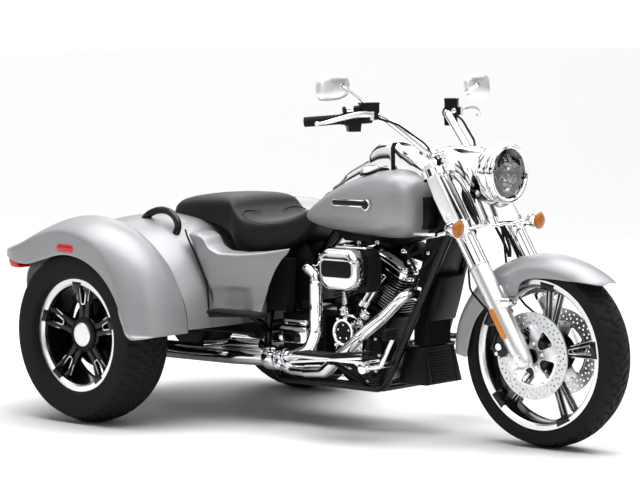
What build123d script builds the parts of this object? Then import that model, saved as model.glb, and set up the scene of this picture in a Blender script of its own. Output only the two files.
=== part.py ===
from build123d import *
from math import cos, radians, sin
import os

# A three-wheeled touring motorcycle. Millimetres. +X is forward, +Y is left, the floor is Z = 0,
# and X = 0 is the middle of the overall length.

# Driving dimensions
WHEELBASE = 1670.0
FRONT_X = 965.7
REAR_X = FRONT_X - WHEELBASE
FRONT_TYRE_R = 319.3
FRONT_TYRE_W = 130.0
REAR_TYRE_R = 323.8
REAR_TYRE_W = 205.0
RAKE = 26.0
FORK_ANGLE = 31.76
TRAIL = 100.0
FORK_Y = 137.0
BODY_HALF = 448.0
TYRE_GAP = 13.0
FLANK = 29.0
REAR_TYRE_Y = BODY_HALF + TYRE_GAP + REAR_TYRE_W / 2
WIDTH = 2 * (REAR_TYRE_Y + REAR_TYRE_W / 2 + FLANK)
SKIN = 5.0
TUNNEL_HALF = 38.0
TUNNEL_TOP = 768.0
FIT = 0.3
GAP = 3.0

AXLE_F = Vector(FRONT_X, 0, FRONT_TYRE_R)
AXLE_R = Vector(REAR_X, 0, REAR_TYRE_R)
STEER_FOOT = Vector(FRONT_X + TRAIL, 0, 0)
STEER_DIR = Vector(-sin(radians(RAKE)), 0, cos(radians(RAKE)))
FORK_DIR = Vector(-sin(radians(FORK_ANGLE)), 0, cos(radians(FORK_ANGLE)))


def steer_point(z):
    """The point of the steering axis at height z."""
    return STEER_FOOT + STEER_DIR * (z / STEER_DIR.Z)


def fork_point(z, y=0.0):
    """The point of a fork leg's centre line at height z."""
    return AXLE_F + FORK_DIR * ((z - FRONT_TYRE_R) / FORK_DIR.Z) + Vector(0, y, 0)


def tube(points, radius, bend=40.0):
    """A round bar or pipe along straight runs joined by tangent arcs."""
    with BuildPart() as bar:
        with BuildLine() as run:
            if len(points) == 2:
                Line(*points)
            else:
                FilletPolyline(*points, radius=bend)
        with BuildSketch(Plane(run.line @ 0, z_dir=run.line % 0)):
            Circle(radius)
        sweep()
    return bar.part


def rod(start, direction, length, radius):
    """A straight round bar from a point along a direction."""
    with BuildPart() as bar:
        with BuildSketch(Plane(start, z_dir=direction)):
            Circle(radius)
        extrude(amount=length)
    return bar.part


def turned(corners, centre, direction=(0, 1, 0), rise=(0, 0, 1)):
    """A ring turned about an axis from (place along the axis, radius) corners."""
    across = Vector(*direction)
    up = Vector(*rise)
    with BuildPart() as ring:
        with BuildSketch(Plane(centre, x_dir=across, z_dir=across.cross(up))):
            with BuildLine():
                Polyline(*corners, close=True)
            make_face()
        revolve(axis=Axis(centre, across))
    return ring.part


def block(centre, size, corner=0.0):
    """A box, with rounded upright edges where a corner radius is given."""
    with BuildPart() as solid:
        with BuildSketch(Plane(centre).offset(-size[2] / 2)):
            if corner:
                RectangleRounded(size[0], size[1], corner)
            else:
                Rectangle(size[0], size[1])
        extrude(amount=size[2])
    return solid.part


def side_plate(corners, y_from, y_to):
    """A plate with an (x, z) outline between two planes across the vehicle."""
    with BuildPart() as plate:
        with BuildSketch(Plane.XZ.offset(-y_from)):
            with BuildLine():
                Polyline(*corners, close=True)
            make_face()
        extrude(amount=y_from - y_to)
    return plate.part


def across(point, sign):
    """The same point on the left, with sign 1, or on the right."""
    return (point[0], sign * point[1], point[2])


def finish(builder, name):
    """Labels a finished piece and writes it."""
    builder.part.label = name
    export_step(builder.part, f"parts/{name}.step")


os.makedirs("parts", exist_ok=True)

# ---------------------------------------------------------------- wheels and tyres


def tyre(centre, radius, width, seat_r, lip_r, seat_half):
    """A tyre: flat on its bead seat, bulged side walls and a round crown."""
    half = width / 2
    belly = (lip_r + radius) / 2
    shoulder = (half * 0.72, radius - half * 0.13)
    with BuildPart() as ring:
        with BuildSketch(Plane(centre, x_dir=(0, 1, 0), z_dir=(1, 0, 0))):
            with BuildLine():
                Line((0, seat_r), (seat_half, seat_r))
                Line((seat_half, seat_r), (seat_half, lip_r))
                ThreePointArc((seat_half, lip_r), (half * 0.955, (lip_r + belly) / 2), (half, belly))
                ThreePointArc((half, belly), (half * 0.9, radius - half * 0.29), shoulder)
                TangentArc((0, radius), shoulder, tangent=(1, 0))
                mirror(about=Plane.YZ)
            make_face()
        revolve(axis=Axis(centre, (0, 1, 0)))
    return ring.part


def split_spokes(centre, first_angle, hub_r, rim_r, spread, y_from, y_to):
    """Five pairs of arms that part from the hub to the rim."""
    root = 17.0
    arm = 15.0
    with BuildPart() as arms:
        with BuildSketch(Plane(centre, x_dir=(1, 0, 0), z_dir=(0, -1, 0)).offset(-y_to)):
            with PolarLocations(0, 5, start_angle=first_angle):
                for side in (-1, 1):
                    with BuildLine():
                        Polyline(
                            (hub_r, side * (root - arm)),
                            (hub_r, side * root),
                            (rim_r, side * (spread + arm / 2)),
                            (rim_r, side * (spread - arm / 2)),
                            close=True,
                        )
                    make_face()
        extrude(amount=y_to - y_from)
    return arms.part


FRONT_SEAT_R = 241.0
FRONT_LIP_R = 258.0
FRONT_SEAT_HALF = 48.0
FRONT_AXLE_R = 12.5
FRONT_DISC_Y = 82.0
DISC_T = 5.0
SPOKE_TURN_F = 8.0

with BuildPart() as front_tyre:
    add(tyre(AXLE_F, FRONT_TYRE_R, FRONT_TYRE_W, FRONT_SEAT_R + FIT, FRONT_LIP_R + 0.5, FRONT_SEAT_HALF - FIT))
finish(front_tyre, "front_tyre")

with BuildPart() as front_rim:
    add(turned([(-54, 258), (-48, 258), (-48, 241), (48, 241), (48, 258), (54, 258), (54, 246), (42, 229),
                (-42, 229), (-54, 246)], AXLE_F))
    add(turned([(-66, FRONT_AXLE_R + FIT), (66, FRONT_AXLE_R + FIT), (66, 34), (24, 48), (-24, 48), (-66, 34)],
               AXLE_F))
    for sign in (-1, 1):
        add(turned([(sign * 66, FRONT_AXLE_R + FIT), (sign * (FRONT_DISC_Y - DISC_T / 2), FRONT_AXLE_R + FIT),
                    (sign * (FRONT_DISC_Y - DISC_T / 2), 66), (sign * 70, 66), (sign * 66, 34)], AXLE_F))
    add(split_spokes(AXLE_F, SPOKE_TURN_F, 44, 231, 28, -13, 13))
finish(front_rim, "front_rim")


def brake_disc(centre, radius, y, windows=5):
    """A drilled disc on a carrier with windows."""
    with BuildPart() as disc:
        with BuildSketch(Plane(centre, x_dir=(1, 0, 0), z_dir=(0, -1, 0)).offset(-y - DISC_T / 2)):
            Circle(radius)
            Circle(FRONT_AXLE_R + 6, mode=Mode.SUBTRACT)
            with PolarLocations(80, windows, start_angle=90):
                SlotOverall(52, 24, rotation=90, mode=Mode.SUBTRACT)
        extrude(amount=DISC_T)
    return disc.part


with BuildPart() as front_discs:
    for sign in (-1, 1):
        add(brake_disc(AXLE_F, 150, sign * FRONT_DISC_Y))
finish(front_discs, "front_discs")

REAR_SEAT_R = 190.0
REAR_LIP_R = 207.0
REAR_SEAT_HALF = 70.0
REAR_STUB_R = 22.0
SPOKE_TURN_R = 17.0

for side, sign in (("right", -1), ("left", 1)):
    hub = AXLE_R + Vector(0, sign * REAR_TYRE_Y, 0)
    with BuildPart() as rear_tyre:
        add(tyre(hub, REAR_TYRE_R, REAR_TYRE_W, REAR_SEAT_R + FIT, REAR_LIP_R + 0.5, REAR_SEAT_HALF - FIT))
    finish(rear_tyre, f"rear_tyre_{side}")
    with BuildPart() as rear_rim:
        add(turned([(-76.5, 207), (-70, 207), (-70, 190), (70, 190), (70, 207), (76.5, 207), (76.5, 196),
                    (64, 179), (-64, 179), (-76.5, 196)], hub))
        add(turned([(sign * -20, REAR_STUB_R + FIT), (sign * 40, REAR_STUB_R + FIT), (sign * 40, 0.0),
                    (sign * 54.5, 0.0), (sign * 48, 44), (sign * 44, 62), (sign * -20, 62)], hub))
        add(split_spokes(hub, SPOKE_TURN_R, 56, 182, 24, min(sign * 22, sign * 46), max(sign * 22, sign * 46)))
    finish(rear_rim, f"rear_rim_{side}")

# ---------------------------------------------------------------- front end

SLIDER_TOP = 608.0
FORK_TOP = 962.0
SLIDER_R = 29.0
FORK_R = 24.5

with BuildPart() as fork_sliders:
    for sign in (-1, 1):
        foot = AXLE_F + Vector(0, sign * FORK_Y, 0)
        add(rod(foot - FORK_DIR * 34, FORK_DIR, (SLIDER_TOP - FRONT_TYRE_R) / FORK_DIR.Z + 34, SLIDER_R))
    add(rod(AXLE_F + Vector(0, -FORK_Y - SLIDER_R, 0), (0, 1, 0), 2 * (FORK_Y + SLIDER_R), FRONT_AXLE_R))
finish(fork_sliders, "fork_sliders")

with BuildPart() as fork_tubes:
    for sign in (-1, 1):
        start = fork_point(SLIDER_TOP + FIT, sign * FORK_Y)
        add(rod(start, FORK_DIR, (FORK_TOP - SLIDER_TOP) / FORK_DIR.Z, FORK_R))
finish(fork_tubes, "fork_tubes")

NECK_R = 34.0
STEM_R = 16.0
NECK_LOW = 768.0
NECK_HIGH = 918.0


def clamp(z, thickness):
    """A yoke across both fork legs, square to the steering axis."""
    middle = steer_point(z)
    leg = fork_point(z)
    with BuildPart() as yoke:
        with BuildSketch(Plane(middle, x_dir=(0, 1, 0), z_dir=STEER_DIR)):
            shift = (middle - leg).X / cos(radians(RAKE))
            with Locations((-FORK_Y, shift), (FORK_Y, shift)):
                Circle(FORK_R + 17)
            Rectangle(2 * FORK_Y, 62)
            Circle(NECK_R + 12)
        extrude(amount=thickness / 2, both=True)
        for sign in (-1, 1):
            start = fork_point(z - 60, sign * FORK_Y)
            add(rod(start, FORK_DIR, 140, FORK_R + FIT), mode=Mode.SUBTRACT)
    return yoke.part


with BuildPart() as triple_clamps:
    add(clamp(NECK_LOW - 24, 32))
    add(clamp(NECK_HIGH + 22, 26))
    add(rod(steer_point(NECK_LOW - 24), STEER_DIR, (NECK_HIGH - NECK_LOW + 46) / STEER_DIR.Z, STEM_R))
finish(triple_clamps, "triple_clamps")

# Front fender: a thin skin on planes about one centre, its crown an arc.
FENDER_CENTRE = Vector(981.5, 0, 224.9)
FENDER_SKIN = 3.0
FENDER_FLANK = 40.0
# angle about the centre, radius of the lower edge, radius of the crown, half width
FRONT_FENDER_SECTIONS = [
    (54, 422, 438, 46),
    (63, 392, 438, 76),
    (76, 366, 438, 82),
    (92, 356, 438, 82),
    (112, 340, 438, 82),
    (135, 332, 436, 82),
    (155, 322, 424, 82),
    (168, 317, 404, 80),
]

with BuildPart() as front_fender:
    for angle, edge, crown, half in FRONT_FENDER_SECTIONS:
        turn = radians(angle)
        flank = max(crown - FENDER_FLANK, edge + 4)
        plane = Plane(FENDER_CENTRE, x_dir=(cos(turn), 0, sin(turn)), z_dir=(-sin(turn), 0, cos(turn)))
        with BuildSketch(plane):
            with BuildLine():
                Line((edge, -half), (flank, -half))
                ThreePointArc((flank, -half), (crown, 0), (flank, half))
                Line((flank, half), (edge, half))
                Line((edge, half), (edge, half - FENDER_SKIN))
                Line((edge, half - FENDER_SKIN), (flank, half - FENDER_SKIN))
                ThreePointArc((flank, half - FENDER_SKIN), (crown - FENDER_SKIN, 0), (flank, FENDER_SKIN - half))
                Line((flank, FENDER_SKIN - half), (edge, FENDER_SKIN - half))
                Line((edge, FENDER_SKIN - half), (edge, -half))
            make_face()
    loft()
    for sign in (-1, 1):
        reach = FORK_Y - SLIDER_R - FIT
        bracket = fork_point(520, sign * (reach + 80) / 2)
        add(block(bracket, (64, reach - 80, 34)))
finish(front_fender, "front_fender")

LAMP_Z = 929.0
LAMP_FACE_X = 803.0
LAMP_R = 104.0

LAMP_CENTRE = Vector(LAMP_FACE_X, 0, LAMP_Z)
BEZEL = 14.0

with BuildPart() as headlamp:
    add(turned([(0, LAMP_R - BEZEL), (6, LAMP_R - 10), (6, LAMP_R - 4), (2, LAMP_R), (-20, LAMP_R), (-25, LAMP_R - 5),
                (-30, LAMP_R - 3), (-60, LAMP_R - 8), (-92, LAMP_R - 24), (-116, LAMP_R - 52), (-126, 0),
                (-BEZEL, 0), (-BEZEL, LAMP_R - BEZEL)], LAMP_CENTRE, (1, 0, 0)))
finish(headlamp, "headlamp")

with BuildPart() as headlamp_lens:
    add(turned([(2, 0), (-4, LAMP_R - BEZEL - FIT), (-12, LAMP_R - BEZEL - FIT), (-12, 0)], LAMP_CENTRE, (1, 0, 0)))
finish(headlamp_lens, "headlamp_lens")

NACELLE_HALF = 104.0
NACELLE_SKIN = 4.0
NACELLE_FRONT = [(714, 842), (688, 925), (642, 1008), (590, 1024), (540, 1016)]
NACELLE_BACK = [(566, 985), (604, 955), (668, 842)]

BAR_R = 14.0
GRIP_R = 17.5
BAR_MIDDLE = (588, 0, 985)
BAR_RISE = (588, 60, 985)
BAR_KNEE = (533, 108, 1000)
BAR_BEND = (385, 170, 1125)
GRIP_END = (225, 405, 1110)


def between(start, end, share):
    """A point part of the way along a line."""
    return Vector(*start) + (Vector(*end) - Vector(*start)) * share


BAR_SHARE = 0.93
PERCH_AT = 62.0
PERCH_REACH = 42.0

with BuildPart() as handlebar:
    for sign in (-1, 1):
        tip = across(tuple(between(BAR_BEND, GRIP_END, BAR_SHARE)), sign)
        add(tube([BAR_MIDDLE, across(BAR_RISE, sign), across(BAR_KNEE, sign), across(BAR_BEND, sign), tip], BAR_R,
                 [20, 35, 48]))
    for sign in (-1, 1):
        base = steer_point(NECK_HIGH + 22) + STEER_DIR * 13.3 + Vector(0, sign * 32, 0)
        add(rod(base, STEER_DIR, 32, 13))
finish(handlebar, "handlebar")


def bar_point(distance, sign):
    """The point of the straight part of the bar at a distance out from its last bend."""
    bend = Vector(*across(BAR_BEND, sign))
    tip = Vector(*across(GRIP_END, sign))
    return bend + (tip - bend).normalized() * distance


def controls(sign):
    """One hand's grip, switch housing, brake or clutch reservoir and lever."""
    bend = bar_point(0, sign)
    along = bar_point(1, sign) - bend
    reach = (Vector(*across(GRIP_END, sign)) - bend).length
    perch = bar_point(PERCH_AT, sign)
    forward = Vector(1, 0, 0)
    with BuildPart() as hand:
        add(rod(bend + along * 146, along, reach - 146, GRIP_R))
        add(rod(bend + along * 84, along, 60, 24))
        add(rod(perch - along * 20, along, 40, 21))
        add(rod(perch, forward, PERCH_REACH, 13))
        with BuildSketch(Plane(perch + Vector(16, 0, 12), x_dir=along, z_dir=(0, 0, 1))):
            RectangleRounded(60, 50, 6)
        extrude(amount=38)
        with BuildSketch(Plane(bend + along * 118 + Vector(4, 0, -46), x_dir=along, z_dir=(0, 0, 1))):
            RectangleRounded(46, 44, 6)
        extrude(amount=42, taper=-6)
        add(tube([tuple(perch + forward * 34), tuple(perch + along * 48 + forward * 46), (325, sign * 445, 1106)],
                 6.5, 60))
        add(rod(bend, along, reach * (BAR_SHARE + 0.02), BAR_R + FIT), mode=Mode.SUBTRACT)
    return hand.part


with BuildPart() as hand_controls:
    for sign in (-1, 1):
        add(controls(sign))
finish(hand_controls, "hand_controls")

with BuildPart() as nacelle:
    add(side_plate(NACELLE_FRONT + NACELLE_BACK, -NACELLE_HALF, NACELLE_HALF))
    inner_front = [(x - NACELLE_SKIN, z - NACELLE_SKIN) for x, z in NACELLE_FRONT]
    add(side_plate(inner_front + [(500, 1016), (500, 838)], NACELLE_SKIN - NACELLE_HALF, NACELLE_HALF - NACELLE_SKIN),
        mode=Mode.SUBTRACT)
    add(block((560, 0, 930), (88, 300, 146)), mode=Mode.SUBTRACT)
    add(rod(Vector(640, 0, LAMP_Z), Vector(1, 0, 0), 80, 70), mode=Mode.SUBTRACT)
    for neighbour in (triple_clamps, handlebar, headlamp):
        add(neighbour.part, mode=Mode.SUBTRACT)
finish(nacelle, "nacelle")

MIRROR = (353, 387, 1222)
MIRROR_STEM_R = 5.0

with BuildPart() as mirrors:
    for sign in (-1, 1):
        foot = bar_point(PERCH_AT + 22, sign) + Vector(24, 0, 6)
        knee = foot + Vector(0, sign * 24, 30)
        add(tube([tuple(foot), tuple(knee), (376, sign * 346, 1210), (366, sign * 384, 1220)], MIRROR_STEM_R, 16))
        with BuildSketch(Plane(across(MIRROR, sign), x_dir=(0, 1, 0), z_dir=(1, 0, 0.12))):
            RectangleRounded(162, 92, 34)
        extrude(amount=16, taper=14)
    add(hand_controls.part, mode=Mode.SUBTRACT)
finish(mirrors, "mirrors")

SIGNAL = (740, 222, 750)
with BuildPart() as front_signals:
    for sign in (-1, 1):
        add(turned([(-52, 0), (-52, 14), (-38, 27), (-4, 32), (-4, 0)], Vector(*across(SIGNAL, sign)) + Vector(20, 0, 0),
                   (1, 0, 0)))
        add(tube([(703, sign * 178.8, 746), (703, sign * 202, 746), (726, sign * 214, 749)], 7, 10))
finish(front_signals, "front_signals")

REFLECTOR_Y = FORK_Y + SLIDER_R
with BuildPart() as amber_lenses:
    for sign in (-1, 1):
        add(turned([(-3.5, 0), (-3.5, 31), (2, 30), (9, 18), (11, 0)], Vector(*across(SIGNAL, sign)) + Vector(20, 0, 0),
                   (1, 0, 0)))
        plane = Plane(fork_point(432) + Vector(-18, sign * (REFLECTOR_Y - 16), -10), x_dir=FORK_DIR,
                      z_dir=(0, sign, 0))
        with BuildSketch(plane):
            SlotOverall(118, 22)
        extrude(amount=22)
    add(fork_sliders.part, mode=Mode.SUBTRACT)
finish(amber_lenses, "amber_lenses")


def caliper(sign):
    """A caliper astride its disc, on a bracket to the slider."""
    disc_plane = Plane(AXLE_F, x_dir=(1, 0, 0), z_dir=(0, -1, 0)).offset(-sign * FRONT_DISC_Y)
    with BuildPart() as body:
        with BuildSketch(disc_plane):
            with PolarLocations(128, 1, start_angle=158):
                RectangleRounded(62, 120, 12)
        extrude(amount=22, both=True)
        add(rod(Vector(928, sign * 122, 374), Vector(-56, -sign * 26, 0), 64, 12))
        with BuildSketch(disc_plane):
            Circle(154)
        extrude(amount=DISC_T / 2 + 2, both=True, mode=Mode.SUBTRACT)
    return body.part


with BuildPart() as front_calipers:
    for sign in (-1, 1):
        add(caliper(sign))
    add(fork_sliders.part, mode=Mode.SUBTRACT)
finish(front_calipers, "front_calipers")

LINE_R = 4.0
UPPER_LINE = [(384, 212, 1121), (452, 176, 1098), (540, 134, 1030), (572, 106, 975), (578, 104, 950)]
LOWER_LINE = [(712, 70, 738), (716, 80, 680), (706, 104, 600), (716, 108, 530), (790, 104, 464), (872, 96, 420)]

with BuildPart() as control_lines:
    for sign in (-1, 1):
        add(tube([across(point, sign) for point in UPPER_LINE], LINE_R, [60, 60, 24]))
        add(tube([across(point, sign) for point in LOWER_LINE], LINE_R, [60, 80, 50, 60]))
    for neighbour in (hand_controls, triple_clamps, front_calipers):
        add(neighbour.part, mode=Mode.SUBTRACT)
finish(control_lines, "control_lines")

# ---------------------------------------------------------------- rear body

# angle about the rear axle, radius of the arch edge, of the crease, of the crown, of the inner seam
REAR_FENDER_SECTIONS = [
    (2.5, 334, 340, 388, 385),
    (20, 303, 309, 402, 385),
    (40, 300, 331, 420, 385),
    (62, 299, 370, 430, 388),
    (90, 299, 386, 432, 398),
    (115, 303, 393, 427, 402),
    (133, 345, 425, 455, 432),
    (147, 465, 512, 540, 515),
]
MARKER_T = 3.0
OUTER_FACE = WIDTH / 2 - MARKER_T - FIT
SEAM_Y = BODY_HALF + FIT
CROWN_Y = REAR_TYRE_Y + 26.5
# (x, y) of the fender's outline from above, where its tail narrows; y is measured in from the outer face
TAIL = [(-1000, -4.3), (-1120, 36.7), (-1172, 171.7)]

fenders = {}
for side, sign in (("right", -1), ("left", 1)):
    with BuildPart() as rear_fender:
        for angle, arch, crease, crown, seam in REAR_FENDER_SECTIONS:
            turn = radians(angle)
            plane = Plane(AXLE_R, x_dir=(cos(turn), 0, sin(turn)), z_dir=(-sin(turn), 0, cos(turn)))
            outer = OUTER_FACE * sign
            inner = (OUTER_FACE - SKIN) * sign
            with BuildSketch(plane):
                with BuildLine():
                    Line((arch, outer), (crease, outer))
                    ThreePointArc((crease, outer), (crown, CROWN_Y * sign), (seam, SEAM_Y * sign))
                    Line((seam, SEAM_Y * sign), (seam - SKIN, SEAM_Y * sign))
                    ThreePointArc((seam - SKIN, SEAM_Y * sign), (crown - SKIN, CROWN_Y * sign), (crease - 3, inner))
                    Line((crease - 3, inner), (arch, inner))
                    Line((arch, inner), (arch, outer))
                make_face()
        loft()
        with BuildSketch(Plane.XY.offset(400)):
            with BuildLine():
                rim = [(x, (OUTER_FACE - inward) * sign) for x, inward in TAIL]
                ThreePointArc(*rim)
                Polyline(rim[2], (-1400, rim[2][1]), (-1400, 760 * sign), (-1000, 760 * sign), rim[0])
            make_face()
        extrude(amount=600, mode=Mode.SUBTRACT)
    finish(rear_fender, f"rear_fender_{side}")
    fenders[sign] = rear_fender.part

# start, a point on the way and end of each arc of the trunk's outline, from the front edge over the top
TRUNK_ARCS = [
    ((-341, 421), (-352, 514), (-394, 593)),
    ((-394, 593), (-442, 671), (-505, 734)),
    ((-505, 734), (-600, 758), (-735, 768)),
    ((-735, 768), (-900, 757), (-1050, 715)),
    ((-1050, 715), (-1152, 672), (-1236, 604)),
    ((-1236, 604), (-1268, 520), (-1252, 400)),
]
TRUNK_FRONT = (-341, 338)
TRUNK_FOOT = [(-1252, 400), (-1215, 360), (-1100, 345), TRUNK_FRONT, (-341, 421)]
LID_FRONT = -735.0
LID_BACK = -1180.0
LID_HALF = 262.0
TRUNK_FLOOR = 445.0
SEAT_RECESS_Z = 738.0
HINGE = Vector(-736.5, 0, 774)
KNUCKLE_R = 6.0


def trunk_solid(inset):
    """The rear body as a full solid, or a smaller copy inside it."""
    with BuildPart() as solid:
        with BuildSketch(Plane.XZ.offset(-BODY_HALF + inset)):
            with BuildLine():
                for arc in TRUNK_ARCS:
                    ThreePointArc(*arc)
                Polyline(*TRUNK_FOOT)
            make_face()
            if inset:
                offset(amount=-inset)
        extrude(amount=2 * (BODY_HALF - inset))
    return solid.part


with BuildPart() as trunk_body:
    add(trunk_solid(0))
    add(trunk_solid(SKIN), mode=Mode.SUBTRACT)
    with Locations(((LID_FRONT + LID_BACK) / 2, 0, 700)):
        Box(LID_FRONT - LID_BACK, 2 * LID_HALF, 240, mode=Mode.SUBTRACT)
    with Locations((-540, 0, SEAT_RECESS_Z + 50)):
        Box(340, 392, 100, mode=Mode.SUBTRACT)
    add(block((-606, 0, SEAT_RECESS_Z - SKIN / 2), (212, 396, SKIN)))
    add(block((-820, 0, TRUNK_FLOOR - SKIN / 2), (860, 2 * BODY_HALF - SKIN, SKIN)))
    with Locations((-760, 0, 380)):
        Box(1200, 2 * 400, 110, mode=Mode.SUBTRACT)
    add(rod(AXLE_R - Vector(0, 500, 0), Vector(0, 1, 0), 1000, 76), mode=Mode.SUBTRACT)
    for sign in (-1, 1):
        for y in (130, 170):
            add(rod(HINGE + Vector(0, sign * y - 9.7, 0), Vector(0, 1, 0), 19.4, KNUCKLE_R))
            add(block(HINGE + Vector(9, sign * y, -5), (18, 19.4, 10)))
        add(rod(HINGE + Vector(0, sign * 150 - 28, 0), Vector(0, 1, 0), 56, 2.5))
finish(trunk_body, "trunk_body")

with BuildPart() as trunk_lid:
    add(trunk_solid(0))
    add(trunk_solid(SKIN), mode=Mode.SUBTRACT)
    with Locations(((LID_FRONT + LID_BACK) / 2, 0, 740)):
        Box(LID_FRONT - LID_BACK - 2 * GAP, 2 * (LID_HALF - GAP), 300, mode=Mode.INTERSECT)
    for sign in (-1, 1):
        add(rod(HINGE + Vector(0, sign * 150 - 10, 0), Vector(0, 1, 0), 20, KNUCKLE_R))
        add(block(HINGE + Vector(-9, sign * 150, -5), (18, 20, 10)))
        add(rod(HINGE + Vector(0, sign * 150 - 12, 0), Vector(0, 1, 0), 24, 2.5 + FIT), mode=Mode.SUBTRACT)
finish(trunk_lid, "trunk_lid")

with BuildPart() as tail_lamps:
    for sign in (-1, 1):
        add(block((-1118, sign * 570, 590), (64, 150, 56), 14))
        add(fenders[sign], mode=Mode.SUBTRACT)
        add(block((REAR_X + 15, sign * (WIDTH - MARKER_T) / 2, 648), (70, MARKER_T, 25)))
finish(tail_lamps, "tail_lamps")

with BuildPart() as grab_handles:
    for sign in (-1, 1):
        add(tube([(-672, sign * 300, 764), (-640, sign * 296, 792), (-540, sign * 300, 800), (-478, sign * 312, 742),
                  (-470, sign * 322, 700)], 15, [22, 36, 26]))
    add(trunk_solid(0), mode=Mode.SUBTRACT)
finish(grab_handles, "grab_handles")

MID_OUTLINE = [(-460, 361), (-460, 706), (-330, 662), (-200, 640), (-55, 631), (-110, 545), (-188, 447), (-250, 372)]
MID_PLAN = [(-460, 190), (-460, 332), (-340, 330), (-50, 202), (-50, 190)]
MID_HOLLOW = [(-430, 180), (-430, 326), (-342, 324), (0, 173), (0, 160)]
MID_LIP_Z = 628.0


def cover_panel(sign):
    """The panel between the seat and the trunk on one side: a skin with a lip along its top."""
    with BuildPart() as panel:
        add(side_plate(MID_OUTLINE, -340, 340))
        with BuildSketch(Plane.XY.offset(300)):
            with BuildLine():
                Polyline(*[(x, sign * y) for x, y in MID_PLAN], close=True)
            make_face()
        extrude(amount=500, mode=Mode.INTERSECT)
        with BuildSketch(Plane.XY.offset(300)):
            with BuildLine():
                Polyline(*[(x, sign * y) for x, y in MID_HOLLOW], close=True)
            make_face()
        extrude(amount=MID_LIP_Z - 300, mode=Mode.SUBTRACT)
        add(trunk_solid(-FIT), mode=Mode.SUBTRACT)
    return panel.part


with BuildPart() as mid_cover:
    for sign in (-1, 1):
        add(cover_panel(sign))
    add(grab_handles.part, mode=Mode.SUBTRACT)
finish(mid_cover, "mid_cover")

# ---------------------------------------------------------------- seat, tank and console

SEAT_TOP = [(-4, 846), (-60, 792), (-120, 752), (-190, 736), (-300, 734), (-338, 760), (-366, 806), (-420, 818),
            (-520, 815), (-650, 804), (-700, 780)]
SEAT_OUTLINE = SEAT_TOP + [(-709, 738.3), (-470, 738.3), (-440, 690), (-330, 622), (-200, 610), (-80, 640), (-52, 700),
                           (-50, 775)]

with BuildPart() as seat:
    add(side_plate(SEAT_OUTLINE, -186, 186))
    with BuildSketch(Plane.XY.offset(500)):
        with BuildLine():
            Polyline((5, 62), (-90, 120), (-200, 184), (-330, 184), (-420, 172), (-560, 160), (-690, 140), (-712, 110))
            Line((-712, 110), (-712, -110))
            Polyline((-712, -110), (-690, -140), (-560, -160), (-420, -172), (-330, -184), (-200, -184), (-90, -120),
                     (5, -62))
            Line((5, -62), (5, 62))
        make_face()
    extrude(amount=500, mode=Mode.INTERSECT)
finish(seat, "seat")

# x, half width, bottom, top, corner radius
TANK_SECTIONS = [
    (-34, 118, 744, 772, 13),
    (40, 150, 710, 838, 54),
    (130, 163, 699, 886, 76),
    (240, 175, 690, 926, 90),
    (370, 178, 688, 940, 94),
    (440, 166, 697, 922, 86),
    (482, 112, 736, 858, 52),
]
with BuildPart() as fuel_tank:
    for x, half, low, high, corner in TANK_SECTIONS:
        with BuildSketch(Plane((x, 0, (low + high) / 2), x_dir=(0, 1, 0), z_dir=(1, 0, 0))):
            RectangleRounded(2 * half, high - low, corner - 1)
    loft()
    with Locations((220, 0, TUNNEL_TOP - 60)):
        Box(620, 2 * TUNNEL_HALF, 120, mode=Mode.SUBTRACT)
finish(fuel_tank, "fuel_tank")

CONSOLE_HALF = 66.0
CONSOLE_OUTLINE = [(-2, 850), (85, 911), (204, 967), (213, 990), (249, 1018), (282, 1029), (314, 1030), (322, 1000),
                   (322, 950), (344, 950), (338, 1030), (372, 1012), (420, 982), (470, 938), (450, 880), (300, 860),
                   (60, 812)]
CONSOLE_PLAN = [(-2, 14), (85, 36), (204, 46), (215, 60), (320, CONSOLE_HALF), (400, CONSOLE_HALF), (470, 40)]
with BuildPart() as tank_console:
    add(side_plate(CONSOLE_OUTLINE, -CONSOLE_HALF, CONSOLE_HALF))
    add(fuel_tank.part, mode=Mode.SUBTRACT)
    with BuildSketch(Plane.XY.offset(700)):
        with BuildLine():
            Polyline(*CONSOLE_PLAN, *[(x, -y) for x, y in reversed(CONSOLE_PLAN)], close=True)
        make_face()
    extrude(amount=400, mode=Mode.INTERSECT)
finish(tank_console, "tank_console")

# ---------------------------------------------------------------- frame and rear axle

BACKBONE_Z = 716.0
BACKBONE_R = 24.0
DOWNTUBE_R = 16.0
RAIL_Z = 158.0

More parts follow.
